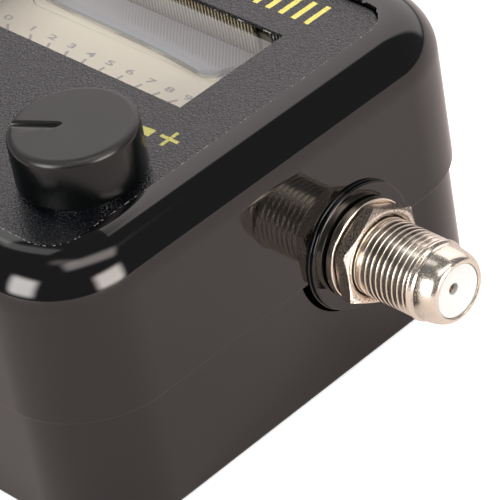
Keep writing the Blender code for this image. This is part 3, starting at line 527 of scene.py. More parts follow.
@dataclass(frozen=True)
class RibbedWall:
    """The window's ribbed far wall, painted dark at its top for the housing behind it and the shade there, with pale
    light below, and painted shade in the valleys between its ribs.
    """

    # The top colour stands for the housing behind the ribs and the painted shade there.
    top: tuple[float, float, float] = (0.10, 0.08, 0.035)
    below: tuple[float, float, float] = (0.225, 0.222, 0.178)
    edge: float = 33.9

    def make(self, name: str) -> bpy.types.Material:
        """Builds the material."""
        coat = Coating(name)
        _, y, z = coat.axes()
        # Painted shade: the wall is darker towards its top, and darker still in the valleys between ribs.
        high = (z + coat.noise(0.5, 1.0) * 0.2).ramp(self.edge, self.edge + 0.25)
        shaded_valleys = y.ramp(15.72, 15.92)
        pale = coat.blend(shaded_valleys, self.below, tuple(0.5 * part for part in self.below))
        dark = coat.blend(shaded_valleys, self.top, tuple(0.12 * part for part in self.top))
        return coat.shade(Base_Color=coat.blend(high, pale, dark), Roughness=0.22, IOR=1.46)


@dataclass(frozen=True)
class GuideBar:
    """The clear light guide: bluish down its front face, lavender grey on top, with a painted reflection of the ribs in
    fine stripes across its top.
    """

    foot: float = 30.32
    bend: float = 0.004
    above: tuple[float, float, float] = (0.255, 0.262, 0.275)
    front: tuple[float, float, float] = (0.2, 0.225, 0.24)
    dial: tuple[float, float, float] = (0.61, 0.59, 0.465)
    # The spacing of the painted reflection's stripes.
    line: float = 0.386

    def make(self, name: str) -> bpy.types.Material:
        """Builds the material."""
        coat = Coating(name)
        x, y, z = coat.axes()
        cloud = coat.noise(3.0, 2.0)
        depth = y - 10.8 + (x + 5.0).either(0.0) ** 2 * self.bend + cloud * 0.5
        # Painted reflection: fine stripes on the top stand for the ribs mirrored in it.
        lines = abs((x * 0.728 + y * 0.686) % self.line * (2 / self.line) - 1) * depth.ramp(1.2, 2.2)
        reflected = coat.blend(lines * (x + 0.0).ramp(-12.0, 0.0), self.above, tuple(0.5 * part for part in self.above))
        rise = coat.blend((z - self.foot).ramp(0.0, 0.5), self.dial, self.front)
        face = coat.blend(depth.ramp(0.9, 1.9), rise, reflected)
        return coat.shade(Base_Color=face, Roughness=cloud * 0.06 + 0.3, Normal=coat.bump(cloud, 0.02, 0.3), IOR=1.3)


@dataclass(frozen=True)
class SolderMask:
    """A circuit board's green coat over copper tracks."""

    green: tuple[float, float, float] = (0.02, 0.12, 0.04)
    track: tuple[float, float, float] = (0.05, 0.25, 0.09)

    def make(self, name: str) -> bpy.types.Material:
        """Builds the material."""
        coat = Coating(name)
        x, y, _ = coat.axes()
        bend = coat.noise(7.0, 0.0)
        lane = ((x + y * 0.35 + bend * 6.0) % 3.0 < 0.8).either((y - bend * 5.0) % 4.5 < 0.7)
        return coat.shade(Base_Color=coat.blend(lane, self.green, self.track), Roughness=0.4 - lane * 0.1,
                          Normal=coat.bump(lane, 0.03, 0.6), IOR=1.5)


@dataclass(frozen=True)
class Winding:
    """Turns of enamelled wire, painted darker between the turns for the shade there."""

    colour: tuple[float, float, float] = (0.62, 0.28, 0.14)
    pitch: float = 0.3
    axis: int = 2

    def make(self, name: str) -> bpy.types.Material:
        """Builds the material."""
        coat = Coating(name)
        turn = abs(coat.axes()[self.axis] % self.pitch - self.pitch / 2) * (2 / self.pitch)
        # Painted shade: darker where the turns meet.
        return coat.shade(Base_Color=coat.blend(turn, self.colour, tuple(0.35 * part for part in self.colour)),
                          Metallic=0.8, Roughness=turn * 0.3 + 0.25, Normal=coat.bump(1 - turn, 0.1, 0.7))


class Finish(Enum):
    """Every finish on the meter."""

    SHELL = GlossMould()
    LABEL = GrainedLabel()
    KNOB = SatinMould(dust=0.05)
    NICKEL = Plating()
    THREAD_NICKEL = Plating((0.80, 0.73, 0.63), 0.21, 0.12)
    NUT_NICKEL = Plating((0.7, 0.61, 0.52), 0.2, 1.0, 0.13, 0.12, 0.46)
    STEEL = Plating((0.56, 0.57, 0.58), 0.28, 0.3)
    BRASS = Plating((0.7, 0.5, 0.22), 0.25, 0.3)
    COPPER = Plating((0.65, 0.32, 0.18), 0.3, 0.3)
    AGED_BRASS = Plating((0.26, 0.16, 0.09), 0.4, 0.3)
    COIL = Winding()
    CHOKE = Winding(axis=0, pitch=0.45)
    WHITE = PlainPlastic((0.58, 0.63, 0.635), 0.45, 0.04)
    GUIDE = GuideBar()
    DARK = PlainPlastic((0.02, 0.02, 0.02), 0.5)
    CAN = PlainPlastic((0.015, 0.02, 0.05), 0.3)
    LAMP = PlainPlastic((0.8, 0.78, 0.6), 0.15)
    DIAL = PlainPlastic((0.63, 0.605, 0.475), 0.55, 0.05)
    INK = PlainPlastic((0.27, 0.265, 0.245), 0.6)
    RIBS = RibbedWall()
    PANE = ClearPane()
    BOARD = SolderMask()

    def material(self) -> bpy.types.Material:
        """The finish's material, made the first time that it is asked for."""
        name = self.name.lower() + "_finish"
        return bpy.data.materials.get(name) or self.value.make(name)


# Mesh work

class Side(Enum):
    """A side of the box that has a socket, and the turn that lays an upright piece out of it."""

    RIGHT = 1
    LEFT = -1

    def lay(self, reach: float, across: float, height: float) -> Matrix:
        """The matrix that lays an upright piece with its top outward.

        Args:
            reach: The distance of the side's face from the middle.
            across: The axis's place along the side.
            height: The axis's height.

        Returns:
            The matrix.
        """
        return Matrix.Translation((self.value * reach, across, height)) @ Matrix.Rotation(self.value * math.pi / 2, 4,
                                                                                         "Y")


def to_mesh(work: bmesh.types.BMesh, name: str) -> bpy.types.Mesh:
    """Turns a bmesh into a mesh with outward faces."""
    bmesh.ops.recalc_face_normals(work, faces=work.faces)
    mesh = bpy.data.meshes.new(name)
    work.to_mesh(mesh)
    work.free()
    return mesh


def prism(name: str, low: tuple, high: tuple, corner: float = 0.0, steps: int = 20, top: float = 0.0,
          foot: float = 0.0, edge_steps: int = 12) -> bpy.types.Mesh:
    """A box with round upright corners and round top and bottom edges.

    Args:
        name: The mesh's name.
        low: Its lowest corner.
        high: Its highest corner.
        corner: The radius of the upright corners.
        steps: The faces round one upright corner.
        top: The radius of the top edge.
        foot: The radius of the bottom edge.
        edge_steps: The faces across a top or bottom edge.

    Returns:
        The mesh.
    """
    low, high = Vector(low), Vector(high)
    work = bmesh.new()
    bmesh.ops.create_cube(work, size=1)
    bmesh.ops.transform(work, verts=work.verts, matrix=Matrix.Diagonal((high - low).to_4d()))
    bmesh.ops.translate(work, verts=work.verts, vec=(low + high) / 2)
    if corner:
        upright = [edge for edge in work.edges if (edge.verts[0].co - edge.verts[1].co).xy.length < 1e-6]
        bmesh.ops.bevel(work, geom=upright, offset=corner, segments=steps, profile=0.5, affect="EDGES")
    for radius, height in ((top, high.z), (foot, low.z)):
        if radius:
            level = [edge for edge in work.edges if all(abs(vertex.co.z - height) < 1e-4 for vertex in edge.verts)]
            bmesh.ops.bevel(work, geom=level, offset=radius, segments=edge_steps, profile=0.5, affect="EDGES")
    return to_mesh(work, name)


def lathe(name: str, profile: list[tuple[float, float]], steps: int = 96, closed: bool = False) -> bpy.types.Mesh:
    """Turns a profile about the Z axis.

    Args:
        name: The mesh's name.
        profile: (radius, height) points.
        steps: The faces round a full turn.
        closed: Whether the last point joins the first.

    Returns:
        The mesh.
    """
    work = bmesh.new()
    rings = []
    for radius, height in profile:
        if radius < 1e-6:
            rings.append([work.verts.new((0, 0, height))] * steps)
        else:
            rings.append([work.verts.new((radius * math.cos(math.tau * step / steps),
                                          radius * math.sin(math.tau * step / steps), height))
                          for step in range(steps)])
    pairs = list(zip(rings, rings[1:])) + ([(rings[-1], rings[0])] if closed else [])
    for upper, lower in pairs:
        for step in range(steps):
            after = (step + 1) % steps
            corners = list(dict.fromkeys((upper[step], upper[after], lower[after], lower[step])))
            if len(corners) > 2:
                work.faces.new(corners)
    return to_mesh(work, name)


def arc(middle: tuple[float, float], radius: float, start: float, end: float, steps: int = 8) -> list:
    """Points on an arc, with angles in degrees from the radius axis."""
    return [(middle[0] + radius * math.cos(math.radians(start + (end - start) * step / steps)),
             middle[1] + radius * math.sin(math.radians(start + (end - start) * step / steps)))
            for step in range(steps + 1)]


def evaluated(holder: bpy.types.Object, name: str) -> bpy.types.Mesh:
    """The mesh that an object's modifiers give. The object is removed."""
    graph = bpy.context.evaluated_depsgraph_get()
    mesh = bpy.data.meshes.new_from_object(holder.evaluated_get(graph), preserve_all_data_layers=True,
                                           depsgraph=graph)
    mesh.name = name
    bpy.data.objects.remove(holder)
    return mesh


def carve(mesh: bpy.types.Mesh, *steps: tuple[str, bpy.types.Mesh]) -> bpy.types.Mesh:
    """Cuts, joins or intersects a mesh with others.

    Args:
        mesh: The mesh to work on.
        steps: Pairs of the operation, such as DIFFERENCE, and the other mesh.

    Returns:
        The new mesh.
    """
    holder = bpy.data.objects.new(mesh.name, mesh)
    bpy.context.scene.collection.objects.link(holder)
    tools = []
    for operation, other in steps:
        tool = bpy.data.objects.new(other.name, other)
        bpy.context.scene.collection.objects.link(tool)
        tools.append(tool)
        step = holder.modifiers.new(other.name, "BOOLEAN")
        step.operation = operation
        step.object = tool
    done = evaluated(holder, mesh.name)
    for tool in tools:
        bpy.data.objects.remove(tool)
    return done


def smoothed(mesh: bpy.types.Mesh, angle: float = 28.0) -> bpy.types.Mesh:
    """Shades a mesh smooth but for its sharp edges, with flat faces kept flat.

    Args:
        mesh: The mesh.
        angle: The angle over which an edge is sharp, in degrees.

    Returns:
        The shaded mesh.
    """
    mesh.shade_smooth()
    mesh.set_sharp_from_angle(angle=math.radians(angle))
    holder = bpy.data.objects.new(mesh.name, mesh)
    bpy.context.scene.collection.objects.link(holder)
    weigh = holder.modifiers.new("flat_faces", "WEIGHTED_NORMAL")
    weigh.keep_sharp = True
    return evaluated(holder, mesh.name)


def bevelled(mesh: bpy.types.Mesh, width: float, steps: int = 2, angle: float = 40.0) -> bpy.types.Mesh:
    """Rounds a mesh's sharp edges a little, so that they catch the light.

    Args:
        mesh: The mesh.
        width: The width of the rounding.
        steps: Its faces.
        angle: The angle over which an edge is rounded, in degrees.

    Returns:
        The rounded mesh.
    """
    holder = bpy.data.objects.new(mesh.name, mesh)
    bpy.context.scene.collection.objects.link(holder)
    round_off = holder.modifiers.new("edges", "BEVEL")
    round_off.width = width
    round_off.segments = steps
    round_off.limit_method = "ANGLE"
    round_off.angle_limit = math.radians(angle)
    round_off.harden_normals = False
    return evaluated(holder, mesh.name)


def moved(mesh: bpy.types.Mesh, matrix: Matrix) -> bpy.types.Mesh:
    """The mesh itself, moved."""
    mesh.transform(matrix)
    return mesh


def joined(name: str, *meshes: bpy.types.Mesh) -> bpy.types.Mesh:
    """One mesh of several, each with its own shape."""
    work = bmesh.new()
    for mesh in meshes:
        work.from_mesh(mesh)
    made = bpy.data.meshes.new(name)
    work.to_mesh(made)
    work.free()
    return made


def publish(name: str, mesh: bpy.types.Mesh, finish: Finish, body: str = "housing",
            stands_for: tuple[str, ...] = ()) -> bpy.types.Object:
    """Puts a finished mesh in the scene and says what it rides on and stands for.

    Args:
        name: The piece's name.
        mesh: Its mesh, in millimetres.
        finish: Its finish.
        body: The CAD body that carries it.
        stands_for: The CAD nodes that it replaces.

    Returns:
        The piece.
    """
    mesh.transform(Matrix.Scale(MM, 4))
    mesh.materials.clear()
    mesh.materials.append(finish.material())
    mesh.name = name
    piece = bpy.data.objects.new(name, mesh)
    bpy.context.scene.collection.objects.link(piece)
    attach(piece, body)
    if stands_for:
        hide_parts(*stands_for)
    LOG.info("%s: %d faces, %s", name, len(mesh.polygons), finish.name)
    return piece


class Pattern:
    """A Geometry Nodes tree with named inputs, which ends in Realize Instances and Set Material."""

    KINDS = {int: "NodeSocketInt", float: "NodeSocketFloat", Vector: "NodeSocketVector",
             bpy.types.Object: "NodeSocketObject"}

    def __init__(self, name: str, **sizes: object) -> None:
        """Starts a tree.

        Args:
            name: The tree's name.
            sizes: Its inputs by name, each with its value.
        """
        self.name = name
        self.sizes = sizes
        self.tree = bpy.data.node_groups.new(name, "GeometryNodeTree")
        face = self.tree.interface
        for size, value in sizes.items():
            face.new_socket(size, in_out="INPUT", socket_type=self.KINDS[type(value)])
        face.new_socket("finish", in_out="INPUT", socket_type="NodeSocketMaterial")
        face.new_socket("Geometry", in_out="OUTPUT", socket_type="NodeSocketGeometry")
        self.inputs = self.tree.nodes.new("NodeGroupInput")
        self.outputs = self.tree.nodes.new("NodeGroupOutput")

    def size(self, name: str) -> bpy.types.NodeSocket:
        """One named input."""
        return self.inputs.outputs[name]

    def node(self, kind: str, settings: dict | None = None, **inputs: object) -> bpy.types.NodeSocket:
        """Adds a node and gives its first output.

        Args:
            kind: The node's type.
            settings: Its settings by name.
            inputs: Its inputs by name, with _ for a space.

        Returns:
            The first output.
        """
        made = self.tree.nodes.new(kind)
        for name, value in (settings or {}).items():
            setattr(made, name, value)
        for name, value in inputs.items():
            feed(self.tree, made.inputs[name.replace("_", " ")], value)
        return made.outputs[0]

    def vector(self, x: object = 0.0, y: object = 0.0, z: object = 0.0) -> bpy.types.NodeSocket:
        """A vector of three numbers or sockets."""
        return self.node("ShaderNodeCombineXYZ", X=x, Y=y, Z=z)

    def grow(self, geometry: bpy.types.NodeSocket, finish: Finish) -> bpy.types.Mesh:
        """Ends the tree, runs it and gives its plain mesh.

        Args:
            geometry: What the tree makes.
            finish: The finish of its faces.

        Returns:
            The mesh.
        """
        real = self.node("GeometryNodeRealizeInstances", Geometry=geometry)
        coated = self.node("GeometryNodeSetMaterial", Geometry=real, Material=self.size("finish"))
        self.tree.links.new(coated, self.outputs.inputs[0])
        holder = bpy.data.objects.new(self.name, bpy.data.meshes.new(self.name))
        bpy.context.scene.collection.objects.link(holder)
        step = holder.modifiers.new(self.name, "NODES")
        step.node_group = self.tree
        for item in self.tree.interface.items_tree:
            if item.in_out == "INPUT":
                step[item.identifier] = finish.material() if item.name == "finish" else self.sizes[item.name]
        return evaluated(holder, self.name)


def scratch(mesh: bpy.types.Mesh) -> bpy.types.Object:
    """A helper object that a pattern repeats. It is removed once the pattern has grown."""
    helper = bpy.data.objects.new(mesh.name, mesh)
    bpy.context.scene.collection.objects.link(helper)
    return helper


# Sub-assemblies

@dataclass
class Housing:
    """The two shells, the face's label panel and the screws in the back."""

    half_width: float = 32.0
    half_length: float = 32.2
    top: float = 36.1
    seam: float = 15.6
    corner: float = 11.2
    edge: float = 6.0
    wall: float = 2.0
    ceiling: float = 33.0
    recess_floor: float = 35.0
    label_half_width: float = 26.5
    label_low: float = -26.7
    label_high: float = 24.8
    label_corner: float = 4.0
    label_top: float = 35.6
    window: tuple[float, float, float] = (18.45, -0.5, 15.6)
    bush_hole: float = 3.65
    knob: tuple[float, float] = (18.54, -15.14)
    socket: tuple[float, float] = (9.55, 16.2)
    boss_radius: float = 7.62
    boss_step: float = 0.66
    boss_foot: float = 7.76
    seat: tuple[float, float] = (5.6, 0.88)
    notch: float = 8.45
    inset: float = 0.65
    posts: tuple[float, float] = (24.6, 24.8)
    screw_seat: float = 7.0

    def boss(self, side: Side) -> bpy.types.Mesh:
        """The round boss, with the raised seat that a socket's washer lies on."""
        sweep = self.boss_foot - self.boss_radius
        radius, height = self.seat
        seat = arc((radius - 0.12, height - 0.12), 0.12, 90, 0, 4)
        rim = arc((self.boss_radius - 0.24, self.boss_step - 0.24), 0.24, 90, 0, 6)
        root = arc((self.boss_foot, sweep - 0.02), sweep, 180, 270, 8)
        mesh = lathe("boss", [(0, height), *seat, (radius, self.boss_step), *rim, *root, (self.boss_foot, -0.3),
                              (self.boss_foot - 0.2, -0.5), (self.boss_foot - 0.2, -1.5), (0, -1.5)], 128)
        return moved(mesh, side.lay(self.half_width, *self.socket))

    def bore(self, side: Side, radius: float, inner: float, lift: float = 0.0) -> bpy.types.Mesh:
        """A cylinder along a socket's axis, from inside the wall outward."""
        mesh = lathe("bore", [(0, 4), (radius, 4), (radius, inner), (0, inner)], 128)
        return moved(mesh, side.lay(self.half_width, self.socket[0], self.socket[1] + lift))

    def round_recess_edge(self, mesh: bpy.types.Mesh) -> bpy.types.Mesh:
        """Rounds the rim's inner edge, which catches a line of light round the label."""
        work = bmesh.new()
        work.from_mesh(mesh)
        edges = [edge for edge in work.edges
                 if all(abs(vertex.co.z - self.top) < 1e-3 and abs(vertex.co.x) < self.label_half_width + 0.3
                        and self.label_low - 0.3 < vertex.co.y < self.label_high + 0.3 for vertex in edge.verts)]
        bmesh.ops.bevel(work, geom=edges, offset=0.14, segments=3, profile=0.5, affect="EDGES")
        return to_mesh(work, mesh.name)

    def upper_shell(self) -> None:
        """The cover of the housing."""
        wide, long = self.half_width, self.half_length
        outer = prism("upper", (-wide, -long, self.seam), (wide, long, self.top), self.corner, 28, self.edge, 0.2, 16)
        hollow = prism("hollow", (self.wall - wide, self.wall - long, self.seam - 3),
                       (wide - self.wall, long - self.wall, self.ceiling), self.corner - self.wall, 10,
                       self.edge - self.wall, 0, 6)
        recess = prism("recess", (-self.label_half_width - 0.15, self.label_low - 0.15, self.recess_floor),
                       (self.label_half_width + 0.15, self.label_high + 0.15, self.top + 3), self.label_corner + 0.15,
                       12)
        reach, low, high = self.window
        opening = prism("opening", (-reach - 0.9, low - 0.9, self.ceiling - 3), (reach + 0.9, high + 0.9, self.top + 3))
        bush = moved(lathe("bush", [(0, 40), (self.bush_hole, 40), (self.bush_hole, 28), (0, 28)], 48),
                     Matrix.Translation((*self.knob, 0)))
        mesh = carve(outer, ("DIFFERENCE", hollow), ("UNION", self.boss(Side.RIGHT)), ("UNION", self.boss(Side.LEFT)),
                     ("DIFFERENCE", recess), ("DIFFERENCE", opening), ("DIFFERENCE", bush),
                     ("DIFFERENCE", self.bore(Side.RIGHT, 5.06, -6)), ("DIFFERENCE", self.bore(Side.LEFT, 5.06, -6)))
        publish("shell_cover", smoothed(self.round_recess_edge(mesh)), Finish.SHELL,
                stands_for=("upper_shell",))

    def lower_shell(self) -> None:
        """The tray of the housing, with a tongue inside the seam and four screw wells."""
        wide, long, round_off = self.half_width - self.inset, self.half_length - self.inset, self.corner - self.inset
        outer = prism("lower", (-wide, -long, 0), (wide, long, self.seam - 0.3), round_off, 28, 0.1, 0.6, 4)
        inside = self.wall + 0.3
        tongue = prism("tongue", (inside - self.half_width, inside - self.half_length, 4),
                       (self.half_width - inside, self.half_length - inside, self.seam + 1.5),
                       self.corner - inside, 12)
        inside += 1.1
        hollow = prism("hollow", (inside - self.half_width, inside - self.half_length, self.wall),
                       (self.half_width - inside, self.half_length - inside, self.seam + 4), self.corner - inside, 10)
        steps = [("UNION", tongue), ("DIFFERENCE", hollow),
                 ("DIFFERENCE", self.bore(Side.RIGHT, self.notch, -6, 0.34)),
                 ("DIFFERENCE", self.bore(Side.LEFT, self.notch, -6, 0.34))]
        for x in (-self.posts[0], self.posts[0]):
            for y in (-self.posts[1], self.posts[1]):
                place = Matrix.Translation((x, y, 0))
                post = [(0, 17.6), (3.3, 17.6), (3.3, 1), (0, 1)]
                well = [(0, self.screw_seat), (2.65, self.screw_seat), (2.65, -2), (0, -2)]
                steps.append(("UNION", moved(lathe("post", post, 32), place)))
                steps.append(("DIFFERENCE", moved(lathe("well", well, 32), place)))
        publish("shell_tray", smoothed(carve(outer, *steps)), Finish.SHELL, stands_for=("lower_shell",))

    def label_panel(self) -> None:
        """The grained panel on the face, with its window and the knob's hole."""
        plate = prism("plate", (-self.label_half_width, self.label_low, self.label_top - 0.5),
                      (self.label_half_width, self.label_high, self.label_top), self.label_corner, 12)
        reach, low, high = self.window
        window = prism("window", (-reach, low, self.label_top - 3), (reach, high, self.label_top + 3))
        bush = moved(lathe("hole", [(0, 40), (self.bush_hole, 40), (self.bush_hole, 30), (0, 30)], 48),
                     Matrix.Translation((*self.knob, 0)))
        mesh = bevelled(carve(plate, ("DIFFERENCE", window), ("DIFFERENCE", bush)), 0.07)
        publish("face_label", smoothed(mesh, 50), Finish.LABEL, stands_for=("label_panel",))

    def screws(self) -> None:
        """The four cross-head screws in the back, repeated at the corners of a grid."""
        head = [(0, -1.75), (1.9, -1.75), (2.3, -1.45), (2.5, -1.0), (2.5, 0), (1.3, 0), (1.3, 15.2), (0.65, 16.5),
                (0, 16.5)]
        cross = [prism("slot", (-1.35, -0.28, -3), (1.35, 0.28, -0.7)), prism("slot", (-0.28, -1.35, -3),
                                                                             (0.28, 1.35, -0.7))]
        screw = carve(lathe("screw", head, 40), *(("DIFFERENCE", bar) for bar in cross))
        helper = scratch(smoothed(screw))
        wide, long = self.posts
        pattern = Pattern("back_screws", screw=helper, wide=2 * wide, long=2 * long, seat=self.screw_seat - 0.15)
        grid = pattern.node("GeometryNodeMeshGrid", Size_X=pattern.size("wide"), Size_Y=pattern.size("long"),
                            Vertices_X=2, Vertices_Y=2)
        raised = pattern.node("GeometryNodeTransform", Geometry=grid,
                              Translation=pattern.vector(z=pattern.size("seat")))
        info = pattern.tree.nodes.new("GeometryNodeObjectInfo")
        feed(pattern.tree, info.inputs["Object"], pattern.size("screw"))
        many = pattern.node("GeometryNodeInstanceOnPoints", Points=raised, Instance=info.outputs["Geometry"])
        mesh = pattern.grow(many, Finish.STEEL)
        bpy.data.objects.remove(helper)
        publish("back_screws", mesh, Finish.STEEL,
                stands_for=tuple(f"housing_screw_{index}" for index in range(1, 5)))

    def build(self) -> None:
        """Makes every piece of the housing."""
        self.upper_shell()
        self.lower_shell()
        self.label_panel()
        self.screws()


@dataclass
class CoaxialSocket:
    """One coaxial socket: plated body with its thread, insulator, contact, washer and nut."""

    side: Side
    reach: float = 32.0
    place: tuple[float, float] = (9.55, 16.2)
    crest: float = 4.76
    root: float = 4.52
    pitch: float = 0.794
    thread_start: float = 2.6
    thread_end: float = 11.55
    nose: float = 15.15
    barrel: tuple[float, float] = (4.4, 12.6)
    lip: float = 3.4
    bore: float = 3.2
    contact: float = 13.95
    washer: tuple[float, float, float] = (6.0, 0.9, 1.9)
    nut: tuple[float, float, float] = (6.35, 2.05, 3.95)

    def emit(self, name: str, mesh: bpy.types.Mesh, finish: Finish, node: str = "") -> None:
        """Lays an upright mesh out of this side and publishes it.

        Args:
            name: The piece's name without its side.
            mesh: The mesh, upright about the Z axis.
            finish: Its finish.
            node: The CAD node that it stands for, without its side.
        """
        word = self.side.name.lower()
        moved(mesh, self.side.lay(self.reach, *self.place))
        publish(f"{name}_{word}", mesh, finish, stands_for=(f"{node}_{word}",) if node else ())

    def body(self) -> bpy.types.Mesh:
        """The turned body: core, shoulder, rounded nose and bore."""
        radius, start = self.barrel
        turns = [math.radians(90 * step / 14) for step in range(15)]
        nose = [(self.lip + (radius - self.lip) * math.sin(turn), start + (self.nose - start) * math.cos(turn))
                for turn in turns]
        profile = [(self.bore + 0.04, self.nose - 0.06), (self.bore + 0.1, self.nose), *nose, (radius, 12.5),
                   (radius - 0.04, 12.42), (radius, 12.34), (radius, 12.2), (radius + 0.05, 12.06), (self.crest - 0.1, 11.88), (self.crest - 0.03, 11.76),
                   (self.crest - 0.03, 11.64), (self.root, 11.42), (self.root, -2.3), (6.3, -2.3), (6.3, -4.3),
                   (0.8, -4.3), (0.8, -2.8), (self.bore, -2.8), (self.bore, self.nose - 0.12)]
        return lathe("body", profile, 96, closed=True)

    def thread(self) -> bpy.types.Mesh:
        """The thread's ridge, swept along a helix about the body."""
        turns = (self.thread_end - self.thread_start) / self.pitch
        pattern = Pattern("thread", turns=turns, radius=self.root, length=self.thread_end - self.thread_start,
                          height=self.crest - self.root)
        helix = pattern.node("GeometryNodeCurveSpiral", Resolution=64, Rotations=pattern.size("turns"),
                             Start_Radius=pattern.size("radius"), End_Radius=pattern.size("radius"),
                             Height=pattern.size("length"), Reverse=False)
        level = pattern.node("GeometryNodeSetCurveNormal", {"mode": "Z_UP"}, Curve=helix)
        section = pattern.tree.nodes.new("GeometryNodeCurvePrimitiveQuadrilateral")
        section.mode = "POINTS"
        half = self.pitch * 0.5
        height = self.crest - self.root
        for index, corner in enumerate(((-0.1, -half), (-0.1, half), (height, 0.25), (height, -0.25))):
            section.inputs[f"Point {index + 1}"].default_value = (*corner, 0)
        soft = pattern.node("GeometryNodeFilletCurve", {"mode": "POLY"}, Curve=section.outputs[0], Count=4,
                            Radius=0.1)
        swept = pattern.node("GeometryNodeCurveToMesh", Curve=level, Profile_Curve=soft, Fill_Caps=True)
        mesh = pattern.grow(swept, Finish.THREAD_NICKEL)
        return moved(mesh, Matrix.Translation((0, 0, self.thread_start)))

    def nut_mesh(self) -> bpy.types.Mesh:
        """The hexagon nut, with its corners turned off on both faces and a lead into its bore."""
        corner, low, high = self.nut
        flats = corner * math.cos(math.pi / 6)
        hexagon = [(corner, high + 1), (corner, low - 1)]
        blank = lathe("nut", [(0, high + 1), *hexagon, (0, low - 1)], 6)
        turned = lathe("turned", [(0, high), (flats - 0.15, high), (corner + 0.12, high - 0.42),
                                  (corner + 0.12, low + 0.42), (flats - 0.15, low), (0, low)], 96)
        bore = self.crest + 0.04
        hole = lathe("hole", [(0, high + 1), (bore + 1.18, high + 1), (bore, high - 0.18), (bore, low + 0.18),
                              (bore + 1.18, low - 1), (0, low - 1)], 96)
        mesh = carve(blank, ("INTERSECT", turned), ("DIFFERENCE", hole))
        return smoothed(bevelled(mesh, 0.06, 2, 25), 40)

    def build(self) -> None:
        """Makes every piece of the socket."""
        smooth_body = smoothed(self.body(), 35)
        self.emit("socket_body", smooth_body, Finish.NICKEL, "connector_body")
        self.emit("socket_thread", smoothed(self.thread(), 40), Finish.THREAD_NICKEL)
        outer, low, high = self.washer
        ring = [(self.crest + 0.15, high), *arc((outer - 0.16, high - 0.16), 0.16, 90, 0, 4),
                *arc((outer - 0.16, low + 0.16), 0.16, 0, -90, 4), (self.crest + 0.15, low)]
        self.emit("socket_washer", smoothed(lathe("washer", ring, 96, closed=True)), Finish.THREAD_NICKEL,
                  "connector_washer")
        self.emit("socket_nut", self.nut_mesh(), Finish.NUT_NICKEL, "connector_nut")
        face, outer = self.nose - 0.8, self.bore - 0.03
        dish = [(0.7 + 2.25 * step / 8, face + 0.6 * (step / 8) ** 2) for step in range(9)]
        plug = [(0.66, face - 0.1), *dish, (outer - 0.08, face + 0.62), (outer, face + 0.52), (outer, -2.6),
                (0.66, -2.6)]
        self.emit("socket_insulator", smoothed(lathe("plug", plug, 64, closed=True)), Finish.WHITE,
                  "connector_insulator")
        tube = [(0.24, self.contact - 0.35), (0.5, self.contact), (0.56, self.contact - 0.06),
                (0.48, self.contact - 0.3), (0.48, -10.5), (0, -10.5), (0, 10.5), (0.24, 10.6)]
        self.emit("socket_contact", smoothed(lathe("tube", tube, 32)), Finish.AGED_BRASS, "connector_contact")


@dataclass
class GainKnob:
    """The knob, with its pointer groove."""

    place: tuple[float, float] = (18.54, -15.14)
    radius: float = 7.2035
    foot: float = 36.2
    top: float = 42.3
    hollow: float = 6.2
    pointer: float = 210.5

    def groove(self) -> bpy.types.Mesh:
        """The cutter of the groove: steep on one side, sloped on the other, and rounded at its inner end."""
        section = [(-0.5, 3.0), (-0.44, -0.42), (-0.34, -0.6), (-0.16, -0.66), (0.02, -0.58), (0.2, -0.36),
                   (0.62, -0.1), (0.98, 0.02), (0.98, 3.0)]
        stations = ((1.1, 0.3, 0.5), (1.2, 0.62, 0.25), (1.45, 0.86, 0.08), (1.9, 1.0, 0.0), (9.0, 1.0, 0.0))
        work = bmesh.new()
        rings = [[work.verts.new((out, across * share, self.top + (height + lift if height < 1 else height)))
                  for across, height in section] for out, share, lift in stations]
        for first, second in zip(rings, rings[1:]):
            for index in range(len(section)):
                after = (index + 1) % len(section)
                work.faces.new((first[index], first[after], second[after], second[index]))
        work.faces.new(rings[0])
        work.faces.new(rings[-1])
        mesh = to_mesh(work, "groove")
        return moved(mesh, Matrix.Rotation(math.radians(self.pointer), 4, "Z"))

    def build(self) -> None:
        """Makes the knob."""
        edge = arc((self.radius - 0.85, self.top - 0.85), 0.85, 90, 0, 12)
        foot = arc((self.radius - 0.3, self.foot + 0.3), 0.3, 0, -90, 5)
        profile = [(0, self.top), (3.0, self.top), *edge, *foot, (self.hollow, self.foot), (self.hollow, 40.6),
                   (0, 40.6)]
        mesh = carve(lathe("knob", profile, 144), ("DIFFERENCE", self.groove()))
        moved(mesh, Matrix.Translation((*self.place, 0)))
        publish("gain_knob", smoothed(bevelled(mesh, 0.05, 2, 35)), Finish.KNOB, "gain_knob",
                stands_for=("knob",))


